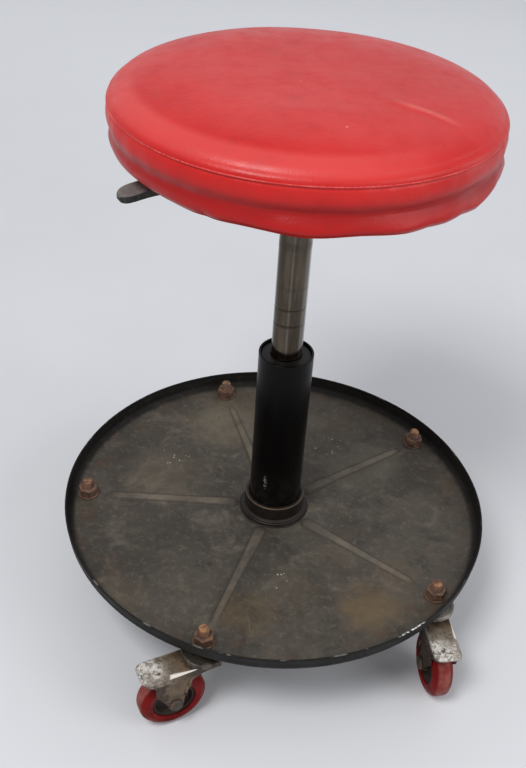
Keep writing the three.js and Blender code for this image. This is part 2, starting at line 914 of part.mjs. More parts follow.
function leverPaddle() {
  const start = PADDLE.tipReach - PADDLE.length;
  const middle = leverHeight(PADDLE.tipReach);
  const { rootThickness, tipThickness } = PADDLE;
  const rings = PADDLE_STATION_SHARES.map(([along, across, thick]) => {
    const x = start + PADDLE.length * along;
    const side = PADDLE.halfWidth * across;
    const half = (tipThickness + (rootThickness - tipThickness) * (1 - along)) * thick / 2;
    const drop = PADDLE.droop * Math.max(0, along - PADDLE.hold / PADDLE.length) ** 2;
    const height = middle - drop / (1 - PADDLE.hold / PADDLE.length) ** 2;
    const bevel = Math.min(side, half) / 2;
    const corners = [
      [side, -half + bevel], [side, half - bevel], [side - bevel, half], [-side + bevel, half],
      [-side, half - bevel], [-side, -half + bevel], [-side + bevel, -half], [side - bevel, -half],
    ];
    return corners.map(([y, z]) => new THREE.Vector3(x, y, height + z));
  });
  return loft(rings).subtract(strip(start - OVERRUN, start + PADDLE.hold + GAP, GAP));
}

// Seat

function seatBoard() {
  const bevel = BOARD.thickness / 8;
  let solid = revolve(
    [
      [0, boardBottom],
      [BOARD.radius - bevel, boardBottom],
      [BOARD.radius, boardBottom + bevel],
      [BOARD.radius, boardTop - bevel],
      [BOARD.radius - bevel, boardTop],
      [0, boardTop],
    ],
    SIDES.seat,
  );
  const depth = Math.max(BOARD.holeDepth, SCREW.reach - BRACKET.sheet - GAP);
  const hole = disc(SCREW.radius + GAP, boardBottom - OVERRUN, boardBottom + depth, SIDES.bolt);
  for (const [x, y] of screwPlaces()) solid = solid.subtract(hole.translate([x, y, 0]));
  return solid;
}

// Shares of the seam's radius at which the crown is sampled, and how square the crown's shoulder is
const CROWN_SHARES = [0, 0.3, 0.52, 0.68, 0.8, 0.88, 0.935, 0.97, 0.99];
const CROWN_POWER = 5;

function seatCushion() {
  const { cover, bottomRound, crown, bulge, groove } = CUSHION;
  const bottom = boardBottom - GAP - cover;
  const seam = boardBottom + CUSHION.seamHeight;
  const inside = BOARD.radius + GAP;
  const hem = BOARD.radius - CUSHION.hemWidth;
  const dome = CROWN_SHARES.map((share) => [
    seamRadius * share,
    seam + crown * Math.sqrt(1 - share ** CROWN_POWER),
  ]);
  const side = seam - bottom;
  return revolve(
    [
      ...dome,
      [seamRadius, seam],
      [seamRadius + bulge, seam - side / 5],
      [seamRadius + bulge / 2, seam - (2 * side) / 5],
      [seamRadius - groove, seam - side / 2],
      [seamRadius + bulge / 2, seam - (3 * side) / 5],
      [seamRadius + bulge / 2, bottom + side / 6],
      [seamRadius - bottomRound / 4, bottom + bottomRound / 4],
      [seamRadius - bottomRound, bottom],
      [hem, bottom],
      [hem, bottom + cover],
      [inside, bottom + cover],
      [inside, boardTop + GAP],
      [0, boardTop + GAP],
    ],
    SIDES.seat,
  );
}

// Assembly

const finish = {
  vinyl: [0xc4312f, 0.45, 0],
  plywood: [0xa9855a, 0.8, 0],
  blackPaint: [0x2b2926, 0.6, 0.3],
  rustyPaint: [0x3a2a20, 0.7, 0.4],
  glossBlack: [0x0d0d0f, 0.25, 0.3],
  steel: [0x7d776c, 0.35, 0.9],
  zinc: [0xa8a69e, 0.5, 0.8],
  rust: [0x9a5a33, 0.85, 0.3],
  tyre: [0x9c1f22, 0.5, 0],
  core: [0x221f1f, 0.6, 0],
  blackPlastic: [0x2e2e2e, 0.55, 0],
  blackRubber: [0x1a1a1a, 0.8, 0],
};

function add(parent, name, solid, [color, roughness, metalness]) {
  const material = new THREE.MeshStandardMaterial({ color, roughness, metalness });
  const mesh = new THREE.Mesh(geometryOf(solid), material);
  mesh.name = name;
  parent.add(mesh);
}

const stool = new THREE.Group();

add(stool, "tray", tray(), finish.blackPaint);
add(stool, "hub_socket", hubSocket(), finish.rustyPaint);
add(stool, "column_tube", columnTube(), finish.glossBlack);
add(stool, "guide_bush", guideBush(), finish.blackPlastic);
add(stool, "thrust_bearing", thrustBearing(), finish.steel);
add(stool, "bumper", bumper(), finish.blackRubber);
add(stool, "retaining_clip", retainingClip(), finish.steel);
add(stool, "piston_rod", pistonRod(), finish.steel);
add(stool, "pressure_tube", pressureTube(), finish.steel);
add(stool, "release_pin", releasePin(), finish.steel);
add(stool, "seat_bracket", seatBracket(), finish.blackPaint);
add(stool, "seat_board", seatBoard(), finish.plywood);
add(stool, "seat_cushion", seatCushion(), finish.vinyl);
screwPlaces().forEach(([x, y], i) => {
  add(stool, `bracket_screw_${i + 1}`, screw().translate([x, y, 0]), finish.zinc);
});

const lever = new THREE.Group();
lever.rotation.z = radians(LEVER.angle);
stool.add(lever);
add(lever, "lever_arm", leverArm(), finish.zinc);
add(lever, "lever_pivot", leverPivot(), finish.steel);
add(lever, "lever_paddle", leverPaddle(), finish.blackPlastic);

TRAIL_ANGLES.forEach((trail, i) => {
  const n = i + 1;
  const caster = new THREE.Group();
  const angle = radians(studAngle(i));
  caster.position.set(STUD_CIRCLE * Math.cos(angle), STUD_CIRCLE * Math.sin(angle), 0);
  stool.add(caster);
  add(caster, `caster_stem_${n}`, stem(), finish.zinc);
  add(caster, `caster_washer_${n}`, washer(), finish.rust);
  add(caster, `caster_nut_${n}`, nut(), finish.rust);
  const swivel = new THREE.Group();
  swivel.rotation.z = radians(trail);
  caster.add(swivel);
  add(swivel, `caster_balls_${n}`, raceBalls(), finish.steel);
  add(swivel, `caster_fork_${n}`, fork(), finish.zinc);
  add(swivel, `caster_axle_${n}`, axle(), finish.zinc);
  add(swivel, `wheel_core_${n}`, wheelCore(), finish.core);
  add(swivel, `wheel_tyre_${n}`, tyre(), finish.tyre);
});

export default stool;
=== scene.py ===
"""A mechanic's rolling stool: a round red vinyl seat on a gas lift, over a worn black tool tray on casters.

Every shape is worked out in millimetres in the frame of the CAD model, and becomes metres in its mesh.
"""

import json
import math

import bmesh
import bpy
import numpy as np
from mathutils import Matrix, Vector


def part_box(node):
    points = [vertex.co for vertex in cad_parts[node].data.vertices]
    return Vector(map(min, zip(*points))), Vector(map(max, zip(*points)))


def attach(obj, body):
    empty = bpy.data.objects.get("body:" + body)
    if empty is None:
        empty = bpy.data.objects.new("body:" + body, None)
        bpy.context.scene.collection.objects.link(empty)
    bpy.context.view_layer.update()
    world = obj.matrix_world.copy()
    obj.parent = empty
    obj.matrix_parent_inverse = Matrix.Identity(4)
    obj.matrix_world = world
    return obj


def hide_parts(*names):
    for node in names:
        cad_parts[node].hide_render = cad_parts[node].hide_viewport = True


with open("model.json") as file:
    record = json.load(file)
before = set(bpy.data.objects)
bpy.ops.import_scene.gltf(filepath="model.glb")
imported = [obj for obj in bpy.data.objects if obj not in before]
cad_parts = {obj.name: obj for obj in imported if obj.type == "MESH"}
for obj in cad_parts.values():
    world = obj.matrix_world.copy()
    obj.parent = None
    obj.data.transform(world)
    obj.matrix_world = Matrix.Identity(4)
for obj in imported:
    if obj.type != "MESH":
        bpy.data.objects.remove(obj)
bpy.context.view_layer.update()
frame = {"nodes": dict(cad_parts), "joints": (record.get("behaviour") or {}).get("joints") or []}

MM = 0.001
TAU = 2 * math.pi

# Places in the frame, in millimetres
joints = {j["name"]: j for j in frame["joints"]}
CASTERS = range(1, 6)
FLOOR_Z, RIM_Z, TRAY_R, SHEET = 87.0, 103.5, 206.0, 1.6  # the tray
COVE_AT, COVE_R = (195.7, 94.5), 7.5  # the middle of the tray's coved corner, and its radius inside
BEAD_FROM, BEAD_TO = 33.0, 172.3  # the ends of each bead in the tray's floor
STUD_R = 186.3
FIRST_STUD = math.radians(38.4)
HUB_R, FLANGE_R, COLLAR_Z = 29.5, 33.0, 108.0
COLUMN_R, COLUMN_Z, COLUMN_FOOT, TAPER_Z = 25.0, 274.5, 46.0, 112.0
TUBE_R, TUBE_FOOT, TUBE_HEAD, TUBE_GROOVES = 14.0, 203.5, 447.0, (324.7, 308.3)
SEAM_R, SEAM_Z, SEAT_LOW, SEAT_TOP = 151.1, 506.8, 470.5, 527.3
BOARD_R, BOARD_LOW = 146.0, 472.0
HEM_R, STAPLE_R, STITCHES = 122.0, 128.5, 230
WHEEL_R, TRAIL, CROWN_Z = 31.0, 30.0, 71.6
LEVER_ANGLE = math.radians(213.8)
LEVER_Z, LEVER_RISE, PIN_AT = 454.75, 4.8, 36  # the strip's middle line, and how far out its pin is
GROOVE_Z = 487.2  # the groove round the seat's side
EDGE_ROUND = 0.45  # how far the edges of a sheet with a wall are rounded


# ------------------------ shapes


def smooth(x):
    """0 below 0 and 1 above 1, with an even S between."""
    x = np.clip(x, 0, 1)
    return x * x * (3 - 2 * x)


def bell(x, centre, width):
    """A bump of height 1 at centre that dies away over width."""
    return np.exp(-(((x - centre) / width) ** 2))


def circle(count):
    """Even angles round a whole turn."""
    return np.linspace(0, TAU, count, endpoint=False)


def ringed(r, angle, z):
    """A grid of points from radius, angle and height, each spread over the others."""
    return np.stack(np.broadcast_arrays(r * np.cos(angle), r * np.sin(angle), z), -1)


def quads(rows, cols, wrap_rows=False, wrap_cols=False):
    """Four-sided faces between the neighbours of a rows by cols grid; a wrapped side joins its ends."""
    i, j = np.meshgrid(
        np.arange(rows if wrap_rows else rows - 1), np.arange(cols if wrap_cols else cols - 1), indexing="ij"
    )
    i2, j2 = (i + 1) % rows, (j + 1) % cols
    return np.stack([i * cols + j, i * cols + j2, i2 * cols + j2, i2 * cols + j], -1).reshape(-1, 4)


def shell(grid, wrap_rows=False, wrap_cols=False):
    """A grid of points, rows by columns by xyz, as points and faces."""
    return grid.reshape(-1, 3), quads(*grid.shape[:2], wrap_rows, wrap_cols)


def rounded(corners, radius, steps=5):
    """A closed outline with its corners rounded: each corner becomes the quadratic curve that starts and
    ends the radius away from it along its two sides, or not quite half a side where that is shorter."""
    p = np.asarray(corners, float)
    reach = np.broadcast_to(np.asarray(radius, float), (len(p),))[:, None]
    sides = []
    for other in (np.roll(p, 1, 0), np.roll(p, -1, 0)):
        run = np.linalg.norm(other - p, axis=1, keepdims=True)
        sides.append(p + (other - p) * np.minimum(reach, 0.48 * run) / np.maximum(run, 1e-9))
    t = np.linspace(0, 1, steps)[None, :, None]
    a, b = sides[0][:, None], sides[1][:, None]
    return ((1 - t) ** 2 * a + 2 * t * (1 - t) * p[:, None] + t**2 * b).reshape(-1, 2)


def turned(outline, sides=96, wrap=True):
    """An outline of (radius, height) carried round the Z axis."""
    r, z = np.asarray(outline, float).T
    return shell(ringed(r[:, None], circle(sides), z[:, None]), wrap, True)


def finer(outline, step):
    """A closed outline with extra points, so that none of its sides is longer than the step."""
    p = np.asarray(outline, float)
    p = np.vstack([p, p[:1]])
    run = np.concatenate([[0], np.cumsum(np.linalg.norm(np.diff(p, axis=0), axis=1))])
    stops = np.unique(np.concatenate([run, np.arange(0, run[-1], step)]))[:-1]
    return np.stack([np.interp(stops, run, p[:, 0]), np.interp(stops, run, p[:, 1])], -1)


def closed(grid):
    """A grid of rings with the middles of its first and last ring added as rings, which close it."""
    first, last = (np.repeat(grid[[k]].mean(1, keepdims=True), grid.shape[1], 1) for k in (0, -1))
    return np.concatenate([first, grid, last])


def joined(*shells):
    """Several shells as one."""
    points, faces, first = [], [], 0
    for p, f in shells:
        points.append(p)
        faces.append(f + first)
        first += len(p)
    return np.vstack(points), np.vstack(faces)


def placed(form, origin=(0, 0, 0), angle=0.0, lying=False):
    """A shell turned about Z by the angle and carried to the origin; a lying one is laid along Y first."""
    p, f = form
    if lying:
        p = np.stack([p[:, 0], -p[:, 2], p[:, 1]], -1)
    c, s = math.cos(angle), math.sin(angle)
    return p @ np.array([[c, s, 0], [-s, c, 0], [0, 0, 1]]) + np.asarray(origin, float), f


def shown(name, data):
    """A new object with the data, in the scene."""
    made = bpy.data.objects.new(name, data)
    bpy.context.scene.collection.objects.link(made)
    return made


def piece(name, form, skin, body, stands_for=(), uv=None, even=True, wall=0.0):
    """A finished piece from a shell: doubles merged, normals outwards, smooth, and riding on its body."""
    points, faces = form
    mesh = bpy.data.meshes.new(name)
    mesh.from_pydata((np.asarray(points) * MM).tolist(), [], np.asarray(faces).tolist())
    if uv is not None:
        corners = np.empty(len(mesh.loops), np.int32)
        mesh.loops.foreach_get("vertex_index", corners)
        mesh.uv_layers.new(name="UVMap").data.foreach_set("uv", uv[corners].ravel())
    work = bmesh.new()
    work.from_mesh(mesh)
    bmesh.ops.remove_doubles(work, verts=work.verts, dist=2e-6)
    bmesh.ops.dissolve_degenerate(work, edges=work.edges, dist=1e-7)
    bmesh.ops.recalc_face_normals(work, faces=work.faces)
    work.to_mesh(mesh)
    work.free()
    mesh.polygons.foreach_set("use_smooth", np.ones(len(mesh.polygons), bool))
    mesh.materials.append(skin)
    mesh.update()
    made = shown(name, mesh)
    if wall:
        made.modifiers.new("Sheet", "SOLIDIFY").thickness = wall * MM
        made.modifiers["Sheet"].offset = -1
        edge = made.modifiers.new("Edge", "BEVEL")
        edge.width, edge.segments, edge.limit_method, edge.angle_limit = EDGE_ROUND * MM, 2, "ANGLE", 0.7
        edge.harden_normals = False
    if even:
        made.modifiers.new("Even shading", "WEIGHTED_NORMAL").keep_sharp = True
    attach(made, body)
    if stands_for:
        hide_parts(*stands_for)
    return made


# ------------------------ node helpers


class Signal:
    """A value in a node tree. Arithmetic adds math nodes, and an item is another output of its node."""

    def __init__(self, socket):
        self.socket, self.tree = socket, socket.id_data

    def __getitem__(self, output):
        return Signal(self.socket.node.outputs[output])

    def __add__(self, other):
        return maths("ADD", self, other)

    def __sub__(self, other):
        return maths("SUBTRACT", self, other)

    def __rsub__(self, other):
        return maths("SUBTRACT", other, self)

    def __mul__(self, other):
        return maths("MULTIPLY", self, other)

    def __abs__(self):
        return maths("ABSOLUTE", self)


def put(socket, value):
    """Links a signal to the socket, or sets the socket's own value."""
    if isinstance(value, Signal):
        value.tree.links.new(value.socket, socket)
    else:
        socket.default_value = value


def node(kind, inputs, output=0, tree=None, **settings):
    """An output of a new node, in the tree of its first signal or in the one given."""
    tree = tree or next(v.tree for v in inputs.values() if isinstance(v, Signal))
    made = tree.nodes.new(kind)
    for key, value in settings.items():
        setattr(made, key, value)
    for key, value in inputs.items():
        put(made.inputs[key], value)
    return Signal(made.outputs[output])


def maths(operation, *values):
    """A math node's result from signals and numbers."""
    return node("ShaderNodeMath", dict(enumerate(values)), operation=operation)


def vectors(operation, a, b=(0, 0, 0), output="Vector"):
    """A vector math node's result."""
    return node("ShaderNodeVectorMath", {0: a, 1: b}, output, operation=operation)


def parts(vector):
    """The x, y and z of a vector."""
    made = node("ShaderNodeSeparateXYZ", {0: vector})
    return [made[k] for k in range(3)]


def spread(value, low, high, start=0.0, end=1.0):
    """The value carried from low..high to start..end, smoothly and no further."""
    ends = {"From Min": low, "From Max": high, "To Min": start, "To Max": end}
    return node("ShaderNodeMapRange", {"Value": value, **ends}, interpolation_type="SMOOTHSTEP")


def bell_mask(value, centre, width):
    """1 where the value is at the centre, and 0 from the width away."""
    return spread(abs(value - centre), width, width * 0.3)


def rgb(r, g, b):
    """An sRGB colour of 0 to 255 as the linear colour that a shader takes."""
    c = np.array([r, g, b]) / 255
    c = np.where(c <= 0.04045, c / 12.92, ((c + 0.055) / 1.055) ** 2.4)
    return (*c.tolist(), 1.0)


def mixed(share, a, b):
    """Colour a with a share of colour b over it; each is a signal or an sRGB colour."""
    a, b = (v if isinstance(v, Signal) else rgb(*v) for v in (a, b))
    return node("ShaderNodeMix", {0: share, 6: a, 7: b}, 2, data_type="RGBA")


def cloudy(vector, scale, detail=4.0, roughness=0.55, distortion=0.0):
    """Noise between 0 and 1, of the scale in cells per metre."""
    form = {"Scale": scale, "Detail": detail, "Roughness": roughness, "Distortion": distortion}
    return node("ShaderNodeTexNoise", {"Vector": vector, **form})


def stretched(vector, scale, turn=(0, 0, 0)):
    """The coordinates scaled and turned: a scale below 1 draws a pattern out along that axis."""
    return node("ShaderNodeMapping", {"Vector": vector, "Scale": scale, "Rotation": turn})


def bumped(height, distance, strength=1.0, under=None):
    """The normal of a bump of the height, which is that many metres at 1, over the normal under it."""
    inputs = {"Height": height, "Distance": distance, "Strength": strength}
    return node("ShaderNodeBump", inputs if under is None else {**inputs, "Normal": under})


def group(name, formula, given, results=("Mask",)):
    """A node group whose results the formula makes of its named inputs. The kinds below are colours and
    vectors; every other input is a number with the value given, and so is a mask."""
    kinds = {"Color": "Color", "Dust": "Color", "Vector": "Vector", "Centre": "Vector"}
    tree = bpy.data.node_groups.new(name, "ShaderNodeTree")
    for way, labels in (("INPUT", given), ("OUTPUT", results)):
        for label in labels:
            kind = "NodeSocket" + kinds.get(label, "Float")
            socket = tree.interface.new_socket(label, in_out=way, socket_type=kind)
            if way == "INPUT" and given[label] is not None:
                socket.default_value = given[label]
    inputs = tree.nodes.new("NodeGroupInput").outputs
    ends = tree.nodes.new("NodeGroupOutput").inputs
    for label, value in zip(results, formula(*(Signal(inputs[label]) for label in given))):
        put(ends[label], value)
    return tree


def patches(vector, scale, low, high):
    """Cloudy patches: noise of the given scale, cut between low and high."""
    return [spread(cloudy(vector, scale, 8, 0.6, 0.4), low, high)]


def specks(vector, scale, size, share):
    """Small round spots: cells whose middle is nearer than the size, kept in a share of the cells."""
    cells = node("ShaderNodeTexVoronoi", {"Vector": vector, "Scale": scale}, "Distance")
    pick = node("ShaderNodeSeparateColor", {0: cells["Color"]})
    return [spread(cells, size, size * 0.5) * maths("LESS_THAN", pick, share)]


def scratches(vector, scale, width, amount):
    """Fine lines: the thin borders of long bent cells, broken up by patches."""
    bend = node("ShaderNodeTexNoise", {"Vector": vector, "Scale": 30.0, "Detail": 2.0}, "Color")
    bent = vectors("ADD", vector, vectors("MULTIPLY", bend, (0.02, 0.02, 0.02)))
    masks = []
    for turn, sizes in (((0.3, 0.2, 0.7), (1, 0.12, 1)), ((0.1, 0.5, -0.9), (0.1, 1, 1))):
        cells = {"Vector": stretched(bent, sizes, turn), "Scale": scale}
        borders = node("ShaderNodeTexVoronoi", cells, feature="DISTANCE_TO_EDGE")
        masks.append(spread(borders, width, 0.0))
    return [maths("MAXIMUM", *masks) * spread(cloudy(bent, 45.0, 3), 0.85 - amount, 0.9)]


def dust(color, settled, vector, amount):
    """Settled dust: the dust's colour laid over the colour where a face looks up, in soft patches."""
    up = parts(node("ShaderNodeNewGeometry", {}, "Normal", vector.tree))[2]
    soft = spread(cloudy(vector, 28.0, 9, 0.68), 0.3, 0.75, 0.35, 1.0)
    mask = spread(up, 0.2, 0.95) * soft * amount
    return [mixed(mask, color, settled), mask]


def wear(vector, low, high, amount):
    """Worn edges: sharp outward bends of the surface, broken up by noise."""
    bend = node("ShaderNodeNewGeometry", {}, "Pointiness", vector.tree)
    rough = cloudy(vector, 180.0, 6) * 0.08 - 0.04
    return [spread(bend + rough, low, high) * amount]


def blot(vector, centre, size, ragged):
    """One ragged blot, bent by noise: full out to a third of its size, and gone at its size."""
    bend = node("ShaderNodeTexNoise", {"Vector": vector, "Scale": 60.0, "Detail": 6.0}, "Color")
    even = vectors("SUBTRACT", bend, (0.5, 0.5, 0.5))
    bent = node("ShaderNodeVectorMath", {0: even, 3: ragged}, operation="SCALE")
    away = vectors("DISTANCE", vectors("ADD", vector, bent), centre, "Value")
    return [spread(away, size, size * 0.35)]


PATCHES = group("Patches", patches, {"Vector": None, "Scale": 20.0, "Low": 0.45, "High": 0.6})
SPECKS = group("Specks", specks, {"Vector": None, "Scale": 400.0, "Size": 0.3, "Share": 0.3})
SCRATCHES = group("Scratches", scratches, {"Vector": None, "Scale": 60.0, "Width": 0.02, "Amount": 0.5})
DUST = group("Dust", dust, {"Color": None, "Dust": None, "Vector": None, "Amount": 0.5}, ("Color", "Mask"))
WEAR = group("Worn edges", wear, {"Vector": None, "Low": 0.52, "High": 0.6, "Amount": 1.0})
BLOT = group("Blot", blot, {"Vector": None, "Centre": None, "Size": 0.02, "Ragged": 0.02})


def finish(name):
    """A new material, and the object's own coordinates in it."""
    made = bpy.data.materials.new(name)
    made.use_nodes = True
    tree = made.node_tree
    tree.nodes.clear()
    shader = tree.nodes.new("ShaderNodeBsdfPrincipled")
    tree.links.new(shader.outputs[0], tree.nodes.new("ShaderNodeOutputMaterial").inputs[0])
    return made, node("ShaderNodeTexCoord", {}, "Object", tree)


def wired(made, color, rough, bump=None, **others):
    """The material with its shader's sockets set or linked; an underscore stands for a space in a name."""
    shader = made.node_tree.nodes["Principled BSDF"]
    for key, value in {"Base_Color": color, "Roughness": rough, "Normal": bump, **others}.items():
        if value is not None:
            put(shader.inputs[key.replace("_", " ")], value)
    return made


def own_uv(spot):
    """The piece's own UV, in the tree of the coordinates."""
    return parts(node("ShaderNodeUVMap", {}, 0, spot.tree))


def use(shared, spot, **inputs):
    """The first result of a node group placed in a material with its own values."""
    made = spot.tree.nodes.new("ShaderNodeGroup")
    made.node_tree = shared
    for key, value in {"Vector": spot, **inputs}.items():
        put(made.inputs[key], value)
    return Signal(made.outputs[0])


def patched(color, spot, scale, low, high, share, tint):
    """The colour with a share of the tint in cloudy patches."""
    return mixed(use(PATCHES, spot, Scale=scale, Low=low, High=high) * share, color, tint)


def specked(color, spot, scale, size, part, share, tint):
    """The colour with a share of the tint in small specks."""
    return mixed(use(SPECKS, spot, Scale=scale, Size=size, Share=part) * share, color, tint)


def ragged(spot, at, size, rough):
    """A ragged blot, its centre, size and roughness given in millimetres."""
    return use(BLOT, spot, Centre=tuple(v * MM for v in at), Size=size * MM, Ragged=rough * MM)


# ------------------------ finishes

# Marks round the steel tube: height and half width in millimetres, and strength
TUBE_MARKS = [*((z, 1.5, 0.7) for z in TUBE_GROOVES), (386.6, 5.5, 0.5), (346.0, 3.0, 0.2)]
# Streaks down the steel tube, the pale ones painted reflections and the brown ones stains: angle round it,
# half width in millimetres, share and colour
TUBE_STAINS_AND_REFLECTIONS = [
    (math.radians(-93), 1.4, 0.17, (166, 161, 150)), (math.radians(-136), 6.0, 0.5, (60, 52, 36)),
    (math.radians(-34), 3.6, 0.4, (150, 147, 142)), (math.radians(70), 2.2, 0.4, (170, 166, 158)),
    (math.radians(160), 4.0, 0.4, (64, 56, 42)), (math.radians(-16), 2.4, 0.7, (196, 194, 190)),
    (math.radians(-168), 2.0, 0.6, (168, 164, 154)),
]
# Chips in the column's lacquer: place with its height drawn in, size, both in millimetres, and strength
COLUMN_CHIPS = [((-9.8, -23.0, 34.3), 3.0, 0.5)]
# Where the soft crease on the crown starts, and its direction
CREASE_AT = (54.0, -41.5)
CREASE_TURN = math.radians(-26.2)
# Small marks on the seat's crown: place, size in millimetres and colour
CROWN_SPECKS = [
    ((-6.3, -18.9, 527), 1.3, (232, 176, 170)), ((29.1, 15.3, 527), 1.1, (226, 164, 158)),
    ((27.5, -96.1, 526), 1.2, (230, 170, 164)), ((15.2, -30.7, 527), 1.6, (140, 30, 28)),
]
# Groups of small pale splashes on the tray's floor: centre and size in millimetres
TRAY_SPLASHES = [((-110, 61), 20), ((51, 101), 24), ((8, -98), 16)]
# Blots on the tray's floor: centre, size in millimetres, share and colour
TRAY_BLOTS = [
    ((-15, -144), 34, 0.5, (92, 75, 51)), ((96, -126), 38, 0.6, (98, 80, 55)),
    ((120, -80), 26, 0.35, (88, 73, 54)), ((-55, -88), 5, 0.7, (40, 34, 28)),
    ((-120, -60), 40, 0.3, (66, 63, 56)), ((85, 70), 60, 0.45, (94, 90, 80)),
    ((-60, 125), 55, 0.5, (106, 96, 80)), ((60, -60), 30, 0.25, (92, 82, 66)),
    ((-115, 30), 60, 0.45, (98, 88, 75)),
]


def make_vinyl():
    """Red vinyl: fine leather grain, rubbed on the crown, with a painted highlight along the front shoulder
    and the crease, and painted shade in the fold and low down."""
    made, spot = finish("Red vinyl")
    x, y, z = parts(spot)
    broad = cloudy(spot, 9.0, 5, 0.6)
    fine = cloudy(spot, 60.0, 6, 0.65)
    color = mixed(spread(broad, 0.35, 0.68), (180, 26, 25), (189, 34, 31))
    color = mixed(spread(fine, 0.52, 0.8, 0, 0.3), color, (154, 22, 22))
    # Painted shade: the side darkens towards its lower edge.
    low = spread(z, (SEAM_Z - 3) * MM, (SEAT_LOW + 8) * MM)
    color = mixed(low * 0.75, color, (150, 14, 14))
    # Painted shade in the groove round the side.
    fold = bell_mask(z + broad * 0.006 - 0.003, GROOVE_Z * MM, 9.0 * MM)
    color = mixed(fold * 0.5, color, (130, 8, 8))
    color = patched(color, spot, 34.0, 0.52, 0.78, 0.2, (100, 28, 26))
    color = patched(color, spot, 13.0, 0.5, 0.72, 0.1, (204, 76, 72))
    radius = maths("SQRT", x * x + y * y)
    forward = x * -0.5 + y * -0.87
    # Painted highlight: a pale band on the front shoulder, above the seam.
    shoulder = bell_mask(radius, 0.1415, 0.013) * spread(forward, 0.02, 0.12)
    shoulder = shoulder * spread(z, (SEAM_Z + 1) * MM, (SEAM_Z + 6) * MM)
    color = mixed(shoulder * 0.26, color, (226, 106, 102))
    x, y = (v - c * MM for v, c in zip((x, y), CREASE_AT))
    cos, sin = math.cos(CREASE_TURN), math.sin(CREASE_TURN)
    run = x * cos + y * sin
    aside = y * cos - x * sin
    # Painted highlight along the soft crease on the crown.
    crease = bell_mask(aside, 0.0002, 0.0044) * bell_mask(run, 0.034, 0.032)
    color = mixed(crease * 0.3, color, (218, 112, 102))
    for place, size, tint in CROWN_SPECKS:
        color = mixed(ragged(spot, place, size, 0.8) * 0.75, color, tint)
    color = specked(color, spot, 70.0, 0.07, 0.05, 0.6, (226, 160, 156))
    grain = node("ShaderNodeTexVoronoi", {"Vector": spot, "Scale": 900.0}, "Distance", feature="SMOOTH_F1")
    dents = cloudy(spot, 420.0, 4)
    bump = bumped(grain + dents, 0.00022, 0.5)
    soft = cloudy(stretched(spot, (1, 1, 0.6)), 26.0, 4)
    bump = bumped(soft, 0.0016, 0.5, bump)
    return wired(
        made, color, spread(fine, 0.3, 0.75, 0.3, 0.43), bump, Coat_Weight=0.03, Coat_Roughness=0.3,
        Specular_IOR_Level=0.23,
    )


def make_seam():
    """The sewn edge of the cover: the same red, rubbed paler, with small stitch pulls along its own UV."""
    made, spot = finish("Red seam")
    pulls = maths("SINE", own_uv(spot)[0] * (TAU * STITCHES))
    rubbed = cloudy(spot, 90.0, 5)
    color = mixed(spread(rubbed, 0.4, 0.7), (196, 36, 34), (212, 74, 70))
    color = mixed(spread(pulls, 0.55, 1.0, 0, 0.3), color, (146, 20, 20))
    return wired(made, color, 0.42, bumped(pulls, 0.0003))


